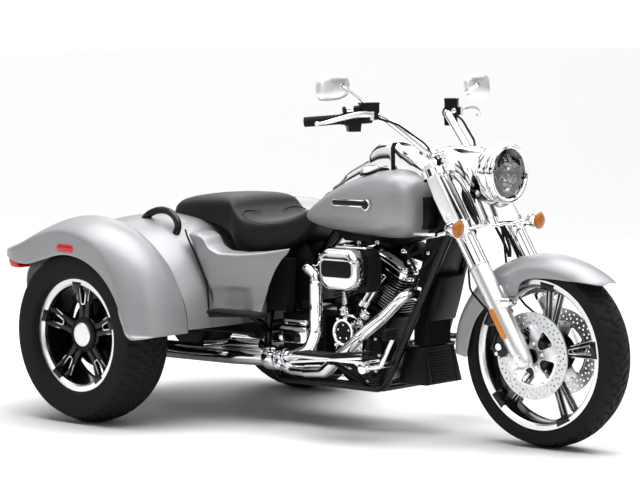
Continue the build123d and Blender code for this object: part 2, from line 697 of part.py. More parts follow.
with BuildPart() as frame:
    add(rod(steer_point(NECK_LOW), STEER_DIR, (NECK_HIGH - NECK_LOW) / STEER_DIR.Z, NECK_R))
    add(tube([tuple(steer_point(830)), (560, 0, 760), (440, 0, BACKBONE_Z), (40, 0, BACKBONE_Z), (-90, 0, 580),
              (-215, 0, 500), (-232, 0, 340)], BACKBONE_R, [60, 90, 70, 60, 40]))
    for sign in (-1, 1):
        add(tube([(668, sign * 10, 806), (600, sign * 60, 740), (392, sign * 116, 281), (330, sign * 124, RAIL_Z),
                  (-170, sign * 124, RAIL_Z), (-240, sign * 122, 250), (-232, sign * 114, 400), (-200, sign * 8, 480)],
                 DOWNTUBE_R, [40, 90, 60, 60, 50, 50]))
        add(tube([(-236, sign * 112, 330), (-330, sign * 150, 398), (-640, sign * 190, 398)], 13, 80))
        add(rod(Vector(-396, sign * 156, 398), Vector(0, sign, 0), 106, 11))
    add(rod(steer_point(NECK_LOW - 20), STEER_DIR, (NECK_HIGH - NECK_LOW + 60) / STEER_DIR.Z, STEM_R + FIT),
        mode=Mode.SUBTRACT)
    add(rod(Vector(-236, -141.7, 330), Vector(0, 1, 0), 283.4, 16))
    for x in (60, 430):
        add(rod(Vector(x, FIT - TUNNEL_HALF, BACKBONE_Z), Vector(0, 1, 0), 2 * (TUNNEL_HALF - FIT), 9))
    for sign in (-1, 1):
        for x, y in ((-450, 165), (-620, 187)):
            add(rod(Vector(x, sign * y, 398), Vector(0, 0, 1), TRUNK_FLOOR - SKIN - FIT - 398, 12))
        add(rod(Vector(402, sign * 112, 300), Vector(0, -sign, 0), 30, 7))
    add(block((250, 0, RAIL_Z), (150, 36, 22)))
    add(rod(Vector(168, -90, 268), Vector(0, 1, 0), 180, 118), mode=Mode.SUBTRACT)
    add(block((-186, -10, 340), (55, 50, 40)))
    add(rod(Vector(322, -118, RAIL_Z), Vector(0, 1, 0), 236, 12))
finish(frame, "frame")

AXLE_TUBE_R = 40.0
BELT_Y = 74.0
BELT_W = 24.0
BELT_T = 4.0
PULLEY_R = 100.0
SPROCKET_R = 46.0
SPROCKET = Vector(-110, 0, 330)

with BuildPart() as rear_axle:
    add(rod(AXLE_R + Vector(0, -400, 0), Vector(0, 1, 0), 800, AXLE_TUBE_R))
    add(turned([(-70, 0), (-70, 96), (-50, 112), (38, 112), (54, 96), (54, 0)], AXLE_R))
    add(turned([(BELT_Y - BELT_W / 2, 0), (BELT_Y - BELT_W / 2, PULLEY_R), (BELT_Y + BELT_W / 2, PULLEY_R),
                (BELT_Y + BELT_W / 2, 0)], AXLE_R))
    for sign in (-1, 1):
        add(rod(AXLE_R + Vector(0, sign * 396, 0), Vector(0, sign, 0), 130, 56))
        add(rod(AXLE_R + Vector(0, sign * 500, 0), Vector(0, sign, 0), 102, REAR_STUB_R))
finish(rear_axle, "rear_axle")

SWING_PIVOT = Vector(-236, 0, 330)
SWING_Y = 160.0
with BuildPart() as swingarm:
    for sign in (-1, 1):
        add(rod(SWING_PIVOT + Vector(0, sign * 142, 0), Vector(0, sign, 0), 36, 24))
        start = SWING_PIVOT + Vector(0, sign * SWING_Y, 0)
        stop = AXLE_R + Vector(AXLE_TUBE_R - 1, sign * SWING_Y, 0)
        add(rod(start, stop - start, (stop - start).length, 17))
    add(rod(Vector(-420, -SWING_Y, 328), Vector(0, 1, 0), 2 * SWING_Y - 96, 15))
    add(rod(AXLE_R + Vector(0, -400, 0), Vector(0, 1, 0), 800, AXLE_TUBE_R + FIT), mode=Mode.SUBTRACT)
finish(swingarm, "swingarm")

with BuildPart() as rear_shocks:
    for sign in (-1, 1):
        low = Vector(-680, sign * 240, 322)
        high = Vector(-398, sign * 240, 398)
        add(rod(low, high - low, (high - low).length, 20))
        add(rod(low, high - low, 150, 23))
    add(rear_axle.part, mode=Mode.SUBTRACT)
    add(frame.part, mode=Mode.SUBTRACT)
finish(rear_shocks, "rear_shocks")


def belt_loop(extra):
    """The area that the belt's inner face encloses, grown outward by extra."""
    with BuildSketch(Plane.XZ) as area:
        with Locations((SPROCKET.X, SPROCKET.Z)):
            Circle(SPROCKET_R + FIT + extra)
        with Locations((AXLE_R.X, AXLE_R.Z)):
            Circle(PULLEY_R + FIT + extra)
        make_hull()
    return area.sketch


with BuildPart() as drive_belt:
    with BuildSketch(Plane.XZ.offset(-BELT_Y - BELT_W / 2)):
        add(belt_loop(BELT_T))
        add(belt_loop(0), mode=Mode.SUBTRACT)
    extrude(amount=BELT_W)
finish(drive_belt, "drive_belt")

PLATE_Z = 470.0
PLATE_HOLES_Y = 146.0
PLATE_HOLES_Z = 70.0
REAR_END = -1285.0
with BuildPart() as plate_bracket:
    add(block((REAR_END + 1.5, 0, PLATE_Z), (3, 190, 120)))
    add(block((REAR_END + 18, 0, PLATE_Z), (34, 90, 60)))
    add(trunk_solid(0), mode=Mode.SUBTRACT)
    with Locations(Plane((REAR_END, 0, PLATE_Z), x_dir=(0, -1, 0), z_dir=(-1, 0, 0))):
        with GridLocations(PLATE_HOLES_Y, PLATE_HOLES_Z, 2, 2):
            Hole(3.5, depth=8)
finish(plate_bracket, "plate_bracket")

# ---------------------------------------------------------------- engine

CRANK = Vector(168, 0, 268)
CASE_HALF = 88.0
CAM = Vector(178, 0, 352)
# lean of each cylinder from upright, positive forward
CYLINDER_LEANS = (29.0, -16.0)
BARREL_FROM = 197.0
HEAD_FROM = 300.0
ROCKER_FROM = 353.0
FIN_T = 3.2
FIN_PITCH = 10.5


def lean_dir(lean):
    """The direction of a cylinder's axis."""
    return Vector(sin(radians(lean)), 0, cos(radians(lean)))


def lean_plane(lean, distance):
    """The plane across a cylinder at a distance from the crank, x forward and y to the left."""
    x_dir = Vector(cos(radians(lean)), 0, -sin(radians(lean)))
    return Plane(CRANK + lean_dir(lean) * distance, x_dir=x_dir, z_dir=lean_dir(lean))


with BuildPart() as crankcase:
    with BuildSketch(Plane.XZ.offset(-CASE_HALF)):
        with Locations((CRANK.X, CRANK.Z)):
            Circle(118)
        for lean in CYLINDER_LEANS:
            with Locations(Location((CRANK.X, CRANK.Z), -lean)):
                Rectangle(140, BARREL_FROM, align=(Align.CENTER, Align.MIN))
    extrude(amount=2 * CASE_HALF)
finish(crankcase, "crankcase")

HEAD_FIN_PITCH = 11.0


def cylinder(lean):
    """A finned barrel and its finned head."""
    axis = tuple(lean_dir(lean))
    with BuildPart() as barrel:
        add(turned([(BARREL_FROM + FIT, 0), (BARREL_FROM + FIT, 60), (HEAD_FROM, 60), (HEAD_FROM, 0)], CRANK, axis,
                   (0, 1, 0)))
        for n in range(9):
            at = BARREL_FROM + 9 + n * FIN_PITCH
            add(turned([(at, 0), (at, 76), (at + FIN_T, 76), (at + FIN_T, 0)], CRANK, axis, (0, 1, 0)))
        with BuildSketch(lean_plane(lean, HEAD_FROM - 0.1)):
            RectangleRounded(136, 140, 22)
        extrude(amount=ROCKER_FROM - HEAD_FROM - FIT)
        for n in range(4):
            with BuildSketch(lean_plane(lean, HEAD_FROM + 5 + n * HEAD_FIN_PITCH)):
                RectangleRounded(152, 152, 26)
            extrude(amount=4)
    return barrel.part


with BuildPart() as cylinders:
    for lean in CYLINDER_LEANS:
        add(cylinder(lean))
finish(cylinders, "cylinders")


def rocker_cover(lean):
    """A cover in two steps over one head."""
    with BuildPart() as cover:
        with BuildSketch(lean_plane(lean, ROCKER_FROM)):
            RectangleRounded(166, 190, 30)
        extrude(amount=22)
        with BuildSketch(lean_plane(lean, ROCKER_FROM + 22)):
            RectangleRounded(150, 172, 30)
        extrude(amount=22, taper=28)
    return cover.part


with BuildPart() as rocker_covers:
    for lean in CYLINDER_LEANS:
        add(rocker_cover(lean))
finish(rocker_covers, "rocker_covers")

CAM_COVER_Y = -CASE_HALF - FIT
with BuildPart() as cam_cover:
    with BuildSketch(Plane.XZ.offset(-CAM_COVER_Y)):
        with Locations((CAM.X, CAM.Z)):
            Circle(66)
        with Locations((CRANK.X, CRANK.Z)):
            Circle(68)
        make_hull()
    extrude(amount=58)
    add(rod(CAM + Vector(0, CAM_COVER_Y - 58, 0), Vector(0, -1, 0), 26, 48))
    add(rod(CAM + Vector(0, CAM_COVER_Y - 80, 0), Vector(0, -1, 0), 10, 36), mode=Mode.SUBTRACT)
    for x in (196, 146):
        add(block((x, -104, 421), (44, 26, 30), 6))
finish(cam_cover, "cam_cover")

with BuildPart() as pushrod_tubes:
    add(rod(Vector(206, -99, 437), Vector(114, 9, 142), 182, 10))
    add(rod(Vector(148, -99, 437), Vector(-42, 9, 172), 172, 10))
    for neighbour in (rocker_covers, cylinders, cam_cover, crankcase):
        add(neighbour.part, mode=Mode.SUBTRACT)
finish(pushrod_tubes, "pushrod_tubes")

with BuildPart() as gearbox:
    add(block((-50, -39, 300), (216, 178, 200), 18))
    add(block((-86, -139, 323), (148, 22, 66)))
    add(rod(SPROCKET + Vector(0, 40, 0), Vector(0, 1, 0), 30, 30))
    add(rod(SPROCKET + Vector(0, BELT_Y - BELT_W / 2, 0), Vector(0, 1, 0), BELT_W, SPROCKET_R))
    add(crankcase.part, mode=Mode.SUBTRACT)
finish(gearbox, "gearbox")

with BuildPart() as primary_cover:
    with BuildSketch(Plane.XZ.offset(-CASE_HALF - 100)):
        with Locations((CRANK.X, CRANK.Z)):
            Circle(84)
        with Locations((-84, 290)):
            Circle(78)
        make_hull()
    extrude(amount=100 - FIT)
    fillet(primary_cover.faces().sort_by(Axis.Y)[-1].edges(), 16)
finish(primary_cover, "primary_cover")

FILTER_Y = -106.0
with BuildPart() as air_filter:
    with BuildSketch(Plane((246, FILTER_Y, 586), x_dir=(1, 0, 0), z_dir=(0, -1, 0))):
        RectangleRounded(200, 158, 40)
    extrude(amount=108)
    add(rod(Vector(204, FILTER_Y, 560), Vector(0, 1, 0), 106, 27))
    add(rod(Vector(130, 0, 560), Vector(1, 0, 0), 150, 22))
    add(cylinders.part, mode=Mode.SUBTRACT)
finish(air_filter, "air_filter")

with BuildPart() as air_cleaner:
    with BuildSketch(Plane((238, FILTER_Y - 108 - FIT, 600), x_dir=(1, 0, 0), z_dir=(0, -1, 0))):
        RectangleRounded(176, 142, 48)
    extrude(amount=64)
    fillet(air_cleaner.faces().sort_by(Axis.Y)[0].edges(), 20)
finish(air_cleaner, "air_cleaner")

with BuildPart() as horn:
    add(turned([(106, 0), (106, 30), (150, 52), (186, 52), (200, 38), (200, 0)], Vector(204, 0, 560)))
    add(rod(Vector(204, 80, 560), Vector(0, 1, 0), 30, 16))
    add(block((206, 84.2, 560), (190, 16, 22)))
    add(rocker_covers.part, mode=Mode.SUBTRACT)
finish(horn, "horn")

# ---------------------------------------------------------------- exhaust

HEADER_R = 20.0
PORT_REAR = [(12, -25, 560), (-46, -66, 560), (-16, -152, 574), (50, -165, 546)]
PORT_FRONT = [(386, -26, 508), (434, -60, 494), (456, -148, 508)]
with BuildPart() as exhaust_headers:
    add(tube(PORT_REAR + [(50, -165, 340), (20, -168, 272), (-60, -172, 250), (-150, -178, 244)], HEADER_R,
             [40, 40, 30, 60, 50, 60]))
    add(tube(PORT_FRONT + [(345, -156, 405), (290, -206, 345), (190, -206, 262), (112, -190, 205), (-60, -176, 200),
                           (-150, -178, 226)], HEADER_R, [40, 40, 50, 60, 60, 60, 50]))
    add(rod(Vector(-118, -177, 238), Vector(-1, 0, 0), 60, 44))
    add(cylinders.part, mode=Mode.SUBTRACT)
finish(exhaust_headers, "exhaust_headers")

MUFFLER_R = 33.0
UPPER_TUBE = [(-200, -196, 284), (-330, -214, 284), (-450, -226, 270)]
with BuildPart() as mufflers:
    for sign in (-1, 1):
        add(tube([(-172, sign * 178, 238), (-320, sign * 205, 236), (-1226, sign * 270, 240)], MUFFLER_R, 300))
    add(rod(Vector(-300, -200, 236), Vector(0, 1, 0), 400, 18))
    add(tube(UPPER_TUBE, 17, 200))
    add(exhaust_headers.part, mode=Mode.SUBTRACT)
finish(mufflers, "mufflers")

# ---------------------------------------------------------------- small chassis pieces

with BuildPart() as oil_cooler:
    for z, rear, front, half in ((178, 373, 509, 97), (312, 396, 482, 84)):
        with BuildSketch(Plane.XY.offset(z)):
            with Locations(((rear + front) / 2, 0)):
                Rectangle(front - rear, 2 * half)
    loft()
    add(frame.part, mode=Mode.SUBTRACT)
finish(oil_cooler, "oil_cooler")

with BuildPart() as regulator:
    add(block((450, 0, 368.6), (44, 140, 112.6)))
    for n in range(9):
        add(block((476, -64 + n * 16, 369), (12, 5, 108)))
finish(regulator, "regulator")

PANEL_OUTLINE = [(-82, 600), (-98, 408), (-196, 408), (-212, 600)]
with BuildPart() as side_panels:
    add(side_plate(PANEL_OUTLINE, -168, -128))
    add(side_plate(PANEL_OUTLINE, 128, 168))
    add(block((-165, 0, 436), (40, 256, 20)))
    add(block((-145, -20, 418), (30, 60, 35.6)))
finish(side_panels, "side_panels")

BOARD_OUTLINE = [(130, 262), (470, 300), (470, 314), (130, 276)]
with BuildPart() as rider_boards:
    for sign in (-1, 1):
        add(side_plate(BOARD_OUTLINE, sign * 347 - 47, sign * 347 + 47))
        for foot in (252, 322):
            start = Vector(foot, sign * 128, 168)
            stop = Vector(foot + 12, sign * 330, 281)
            add(rod(start, stop - start, (stop - start).length, 9))
    add(frame.part, mode=Mode.SUBTRACT)
finish(rider_boards, "rider_boards")

with BuildPart() as passenger_boards:
    for sign in (-1, 1):
        add(block((-154, sign * 362, 416), (266, 82, 15), 12))
        start = Vector(-236, sign * 118, 374)
        stop = Vector(-200, sign * 330, 408)
        add(rod(start, stop - start, (stop - start).length, 8))
    add(frame.part, mode=Mode.SUBTRACT)
finish(passenger_boards, "passenger_boards")

with BuildPart() as foot_controls:
    for sign in (-1, 1):
        add(rod(Vector(386, sign * 122, 252), Vector(0, sign, 0), 172, 10))
        add(tube([(386, sign * 288, 252), (460, sign * 288, 262), (528, sign * 300, 372)], 7, 30))
        add(block((530, sign * 312, 384), (16, 70, 40), 5))
    add(frame.part, mode=Mode.SUBTRACT)
finish(foot_controls, "foot_controls")
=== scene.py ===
"""The looks of a two-up touring trike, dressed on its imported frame. Lengths in the tables are millimetres."""
import math

import bmesh
import bpy
import numpy as np
from mathutils import Matrix, Vector


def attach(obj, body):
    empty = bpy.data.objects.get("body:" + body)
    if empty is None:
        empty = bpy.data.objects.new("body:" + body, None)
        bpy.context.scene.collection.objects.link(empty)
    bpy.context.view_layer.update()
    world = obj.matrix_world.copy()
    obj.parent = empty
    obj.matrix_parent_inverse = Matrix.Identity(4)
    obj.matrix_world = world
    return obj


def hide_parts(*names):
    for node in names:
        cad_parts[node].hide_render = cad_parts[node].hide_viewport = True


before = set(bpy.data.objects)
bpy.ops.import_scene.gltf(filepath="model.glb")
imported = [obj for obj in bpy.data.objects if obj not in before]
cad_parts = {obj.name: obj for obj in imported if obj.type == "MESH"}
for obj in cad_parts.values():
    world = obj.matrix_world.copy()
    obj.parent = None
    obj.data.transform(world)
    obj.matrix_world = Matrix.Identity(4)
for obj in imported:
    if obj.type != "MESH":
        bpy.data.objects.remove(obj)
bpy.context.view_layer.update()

MM = 0.001


def linked(name, data):
    """A new object in the scene."""
    made = bpy.data.objects.new(name, data)
    bpy.context.scene.collection.objects.link(made)
    return made


def add_node(tree, kind, **levels):
    """A shader node with levels for its sockets. An underscore stands for a space in a socket's name."""
    made = tree.nodes.new("ShaderNode" + kind)
    for socket, level in levels.items():
        made.inputs[socket.replace("_", " ")].default_value = level
    return made


def join(tree, *pairs):
    """Links each pair of an output and an input."""
    for source, target in pairs:
        tree.links.new(source, target)


# ---------------------------------------------------------------- camera, floor and light

# place and focal length of the camera, angles in degrees
CAMERA = dict(place=(6776.8, -7420.5, 1526.6), azimuth=42.7495, elevation=4.9202, roll=-0.7527,
              focal_px=2776.47)
PICTURE_WIDTH = 640
SENSOR = 36.0
FAR_CLIP = 100

FLOOR_HALF = 60
FLOOR_WHITE = 0.96

# name, place, aimed at, width, height, watts
LIGHTS = [
    ("top_light", (0.0, -0.2, 4.6), (0, 0, 0.4), 4.6, 3.4, 125),
    ("front_light", (5.6, -2.0, 3.2), (0.4, 0, 0.6), 1.6, 2.0, 30),
    ("side_light", (-3.6, -5.0, 3.2), (-0.4, 0, 0.5), 2.4, 1.6, 18),
    ("back_light", (-3.4, 4.8, 3.6), (0, 0, 0.5), 3.6, 2.4, 60),
]
SKY_LEVEL = 2.85
SKY_SPREAD = 70
SKY_TILT = (-8, 4, 0)

# what polished metal mirrors: height in the room from -1 to 1 mapped to 0 to 1, level of light
ROOM = [(0.44, 0.8), (0.468, 0.02), (0.512, 0.02), (0.545, 0.82), (0.60, 0.95), (0.625, 0.05), (0.668, 0.05),
        (0.70, 1.3)]
ROOM_FLOOR, ROOM_CEILING = 0.9, 1.4
# upright dark bands round the room: how many, where the first stands, how wide and how dark they are
BAND_COUNT, BAND_START, BAND_EDGE, BAND_LEVEL = 5, 0.6, -0.50, 0.02
BACKDROP_LEVEL = 1.1
FILL_LEVEL = 0.08


def add_camera():
    """The camera at its place, turned from looking along +y by its angles."""
    turn, rise, roll = (math.radians(CAMERA[k]) for k in ("azimuth", "elevation", "roll"))
    back = Vector((math.sin(turn) * math.cos(rise), -math.cos(turn) * math.cos(rise), math.sin(rise)))
    level = Vector((math.cos(turn), math.sin(turn), 0))
    upright = back.cross(level)
    right = level * math.cos(roll) + upright * math.sin(roll)
    up = upright * math.cos(roll) - level * math.sin(roll)
    data = bpy.data.cameras.new("camera")
    data.sensor_width = SENSOR
    data.lens = CAMERA["focal_px"] * SENSOR / PICTURE_WIDTH
    data.clip_end = FAR_CLIP
    camera = linked("camera", data)
    basis = Matrix((right, up, back)).transposed().to_4x4()
    camera.matrix_world = Matrix.Translation(Vector(CAMERA["place"]) * MM) @ basis
    bpy.context.scene.camera = camera


def add_floor():
    mesh = bpy.data.meshes.new("floor")
    corners = [(x * FLOOR_HALF, y * FLOOR_HALF, 0) for x, y in ((-1, -1), (1, -1), (1, 1), (-1, 1))]
    mesh.from_pydata(corners, [], [(0, 1, 2, 3)])
    floor = linked("floor", mesh)
    paint = bpy.data.materials.new("floor")
    paint.use_nodes = True
    surface = paint.node_tree.nodes["Principled BSDF"]
    surface.inputs["Base Color"].default_value = (FLOOR_WHITE, FLOOR_WHITE, FLOOR_WHITE, 1)
    surface.inputs["Roughness"].default_value = 0.55
    surface.inputs["Specular IOR Level"].default_value = 0.2
    floor.data.materials.append(paint)


def add_lights():
    for name, place, target, width, height, watts in LIGHTS:
        data = bpy.data.lights.new(name, "AREA")
        data.shape = "RECTANGLE"
        data.size, data.size_y = width, height
        data.energy = watts
        light = linked(name, data)
        light.location = place
        light.rotation_mode = "QUATERNION"
        light.rotation_quaternion = (Vector(target) - Vector(place)).to_track_quat("-Z", "Y")
    sky = bpy.data.lights.new("sky_light", "SUN")
    sky.energy = SKY_LEVEL
    sky.angle = math.radians(SKY_SPREAD)
    linked("sky_light", sky).rotation_euler = [math.radians(a) for a in SKY_TILT]


def add_world():
    """White to the camera, dim to diffuse light, and to reflections a bright room with dark bands."""
    bpy.context.scene.view_settings.view_transform = "Standard"
    world = bpy.data.worlds.new("room")
    bpy.context.scene.world = world
    world.use_nodes = True
    tree = world.node_tree
    tree.nodes.clear()
    place, split, rays = (add_node(tree, kind) for kind in ("TexCoord", "SeparateXYZ", "LightPath"))
    ramp = add_node(tree, "ValToRGB")
    ramp.color_ramp.interpolation = "EASE"
    stops = ramp.color_ramp.elements
    stops[0].position, stops[0].color = 0.0, (ROOM_FLOOR, ROOM_FLOOR, ROOM_FLOOR, 1)
    stops[1].position, stops[1].color = 1.0, (ROOM_CEILING, ROOM_CEILING, ROOM_CEILING, 1)
    for position, level in ROOM:
        stops.new(position).color = (level, level, level * 1.02, 1)
    scale = add_node(tree, "MapRange", From_Min=-1)
    room = add_node(tree, "Background")
    white = add_node(tree, "Background", Color=(1.0, 1.0, 1.0, 1), Strength=BACKDROP_LEVEL)
    soft = add_node(tree, "Background", Color=(1.0, 1.0, 1.0, 1), Strength=FILL_LEVEL)
    dim, mix, out = (add_node(tree, kind) for kind in ("MixShader", "MixShader", "OutputWorld"))
    turn, spread, wave = (add_node(tree, "Math") for _ in range(3))
    turn.operation, spread.operation, wave.operation = "ARCTAN2", "MULTIPLY_ADD", "SINE"
    spread.inputs[1].default_value, spread.inputs[2].default_value = BAND_COUNT, BAND_START
    shut = add_node(tree, "MapRange", From_Min=-1.0, From_Max=BAND_EDGE, To_Min=BAND_LEVEL, To_Max=1.0)
    join(tree, (place.outputs["Generated"], split.inputs[0]), (split.outputs["Z"], scale.inputs["Value"]),
         (scale.outputs["Result"], ramp.inputs["Fac"]), (ramp.outputs["Color"], room.inputs["Color"]),
         (split.outputs["Y"], turn.inputs[0]), (split.outputs["X"], turn.inputs[1]),
         (turn.outputs[0], spread.inputs[0]), (spread.outputs[0], wave.inputs[0]),
         (wave.outputs[0], shut.inputs["Value"]), (shut.outputs["Result"], room.inputs["Strength"]),
         (rays.outputs["Is Camera Ray"], mix.inputs["Fac"]),
         (rays.outputs["Is Diffuse Ray"], dim.inputs["Fac"]), (room.outputs[0], dim.inputs[1]),
         (soft.outputs[0], dim.inputs[2]), (dim.outputs[0], mix.inputs[1]),
         (white.outputs[0], mix.inputs[2]), (mix.outputs[0], out.inputs["Surface"]))


# ---------------------------------------------------------------- finishes

# clouds of shade per metre, and how much surfaces that are not metal mirror
CLOUDS, LENS_CLOUDS, LEATHER_CLOUDS = 4.0, 40.0, 14.0
COAT_ROUGHNESS = 0.12
DULL_SPECULAR, METAL_SPECULAR, METALLIC_FROM = 0.14, 0.5, 0.3

# name, colour, metallic, roughness from, roughness to, grain per metre, bump height, coat
FINISHES = [
    ("silver", (0.32, 0.325, 0.335), 0.30, 0.36, 0.42, 900, 0.010, 0.0),
    ("chrome", (0.90, 0.90, 0.91), 1.0, 0.035, 0.075, 60, 0.0, 0.0),
    ("satin_chrome", (0.84, 0.84, 0.85), 1.0, 0.30, 0.36, 250, 0.01, 0.0),
    ("black_gloss", (0.003, 0.003, 0.0035), 0.0, 0.10, 0.18, 180, 0.01, 0.3),
    ("black_satin", (0.004, 0.004, 0.0045), 0.0, 0.32, 0.44, 900, 0.03, 0.0),
    ("black_plastic", (0.005, 0.005, 0.0055), 0.0, 0.44, 0.58, 1400, 0.05, 0.0),
    ("rubber", (0.008, 0.008, 0.0085), 0.0, 0.58, 0.76, 700, 0.06, 0.0),
    ("smoked", (0.26, 0.26, 0.27), 1.0, 0.08, 0.14, 200, 0.0, 0.0),
    ("machined", (0.80, 0.81, 0.82), 1.0, 0.20, 0.32, 500, 0.01, 0.0),
    ("disc_steel", (0.66, 0.67, 0.68), 1.0, 0.26, 0.38, 1500, 0.02, 0.0),
    ("mirror_glass", (0.90, 0.92, 0.94), 1.0, 0.01, 0.02, 20, 0.0, 0.0),
    ("carpet", (0.03, 0.03, 0.032), 0.0, 0.85, 0.95, 2500, 0.5, 0.0),
]
# name, colour, transmission, roughness
LENSES = [
    ("clear_lens", (0.96, 0.97, 0.98), 1.0, 0.01),
    ("amber", (0.80, 0.27, 0.0), 0.25, 0.08),
    ("deep_amber", (0.60, 0.18, 0.0), 0.25, 0.06),
    ("red", (0.75, 0.008, 0.008), 0.15, 0.12),
]
LENS_IOR = 1.45
LEATHER_CELLS = 420
MATERIALS = {}


def new_paint(name, **levels):
    """A material in MATERIALS, with uniform levels on its surface. Gives its tree and surface."""
    paint = bpy.data.materials.new(name)
    paint.use_nodes = True
    surface = paint.node_tree.nodes["Principled BSDF"]
    for socket, level in levels.items():
        surface.inputs[socket.replace("_", " ")].default_value = level
    MATERIALS[name] = paint
    return paint.node_tree, surface


def noise_into(tree, grain):
    """Noise with so many grains per metre, as a factor."""
    place = add_node(tree, "TexCoord")
    noise = add_node(tree, "TexNoise", Scale=grain, Detail=3.0)
    join(tree, (place.outputs["Object"], noise.inputs["Vector"]))
    return noise.outputs["Fac"]


def shade_by(tree, factor, surface, dark, pale):
    """The surface's colour runs from dark to pale."""
    shade = add_node(tree, "Mix")
    shade.data_type = "RGBA"
    shade.inputs[6].default_value, shade.inputs[7].default_value = (*dark, 1), (*pale, 1)
    join(tree, (factor, shade.inputs["Factor"]), (shade.outputs[2], surface.inputs["Base Color"]))


def roughen_by(tree, factor, surface, low, high):
    spread = add_node(tree, "MapRange", To_Min=low, To_Max=high)
    join(tree, (factor, spread.inputs["Value"]), (spread.outputs["Result"], surface.inputs["Roughness"]))


def bump_by(tree, factor, surface, height, strength):
    bump = add_node(tree, "Bump", Distance=height * MM, Strength=strength)
    join(tree, (factor, bump.inputs["Height"]), (bump.outputs["Normal"], surface.inputs["Normal"]))


def add_finishes():
    for name, colour, metallic, low, high, grain, height, coat in FINISHES:
        mirror = METAL_SPECULAR if metallic >= METALLIC_FROM else DULL_SPECULAR
        tree, surface = new_paint(name, Metallic=metallic, Coat_Weight=coat, Coat_Roughness=COAT_ROUGHNESS,
                                  Specular_IOR_Level=mirror)
        grains = noise_into(tree, grain)
        roughen_by(tree, grains, surface, low, high)
        shade_by(tree, noise_into(tree, CLOUDS), surface, [c * 0.94 for c in colour],
                 [min(c * 1.06, 1.0) for c in colour])
        if height:
            bump_by(tree, grains, surface, height, 0.6)


def add_leather():
    tree, surface = new_paint("leather", Specular_IOR_Level=0.22, Sheen_Weight=0.02)
    place = add_node(tree, "TexCoord")
    cells = add_node(tree, "TexVoronoi", Scale=LEATHER_CELLS)
    cells.feature = "DISTANCE_TO_EDGE"
    join(tree, (place.outputs["Object"], cells.inputs["Vector"]))
    clouds = noise_into(tree, LEATHER_CLOUDS)
    shade_by(tree, clouds, surface, (0.004, 0.004, 0.004), (0.009, 0.009, 0.0095))
    roughen_by(tree, clouds, surface, 0.40, 0.54)
    bump_by(tree, cells.outputs["Distance"], surface, 0.25, 0.35)


def add_lenses():
    for name, colour, through, roughness in LENSES:
        tree, surface = new_paint(name, Transmission_Weight=through, IOR=LENS_IOR, Coat_Weight=0.5,
                                  Roughness=roughness)
        shade_by(tree, noise_into(tree, LENS_CLOUDS), surface, [c * 0.92 for c in colour], colour)


# ---------------------------------------------------------------- shapes in mesh code

# edges are kept sharp, and bevelled, from this angle in degrees
SHARP = 32
# a turned shape comes this near to its axis
AXIS_RADIUS = 1e-4


def rounded(path, bend, steps=7):
    """A run of straight lines with an arc at each inner corner."""
    points = [Vector(p) for p in path]
    bends = bend if isinstance(bend, (list, tuple)) else [bend] * (len(points) - 2)
    made = [points[0]]
    for before, corner, after, radius in zip(points, points[1:], points[2:], bends):
        back, on = (before - corner), (after - corner)
        angle = back.angle(on)
        if angle > math.radians(178):
            made.append(corner)
            continue
        cut = min(radius / math.tan(angle / 2), back.length * 0.49, on.length * 0.49)
        start, stop = corner + back.normalized() * cut, corner + on.normalized() * cut
        for k in range(steps + 1):
            t = k / steps
            made.append(start * (1 - t) ** 2 + corner * (2 * t * (1 - t)) + stop * t ** 2)
    made.append(points[-1])
    return made


def smooth_run(points, steps=6):
    """A smooth curve through the points, by Catmull and Rom's rule. Points may have any number of values."""
    rows = [np.array(p, float) for p in points]
    rows = [2 * rows[0] - rows[1]] + rows + [2 * rows[-1] - rows[-2]]
    made = []
    for a, b, c, d in zip(rows, rows[1:], rows[2:], rows[3:]):
        for k in range(steps):
            t = k / steps
            made.append(0.5 * (2 * b + (c - a) * t + (2 * a - 5 * b + 4 * c - d) * t ** 2
                               + (3 * b - a - 3 * c + d) * t ** 3))
    made.append(rows[-2])
    return made


def round_turn(count):
    """Angles spread over a full turn."""
    return [2 * math.pi * k / count for k in range(count)]


def squared_circle(count, power):
    """Cosine, sine and stretch of points round a circle drawn out towards its corners."""
    made = []
    for a in round_turn(count):
        c, s = math.cos(a), math.sin(a)
        made.append((c, s, (abs(c) ** power + abs(s) ** power) ** (-1 / power)))
    return made


def curve(points, steps):
    """smooth_run for points in space."""
    return [Vector(p) for p in smooth_run(points, steps)]


def look_up(table, at):
    """The second value of a table of pairs, read straight between its rows."""
    return float(np.interp(at, [row[0] for row in table], [row[1] for row in table]))


def on_side(points, sign):
    """Points given for the left side, put on the right where the sign is minus."""
    return [(x, sign * y, z) for x, y, z in points]


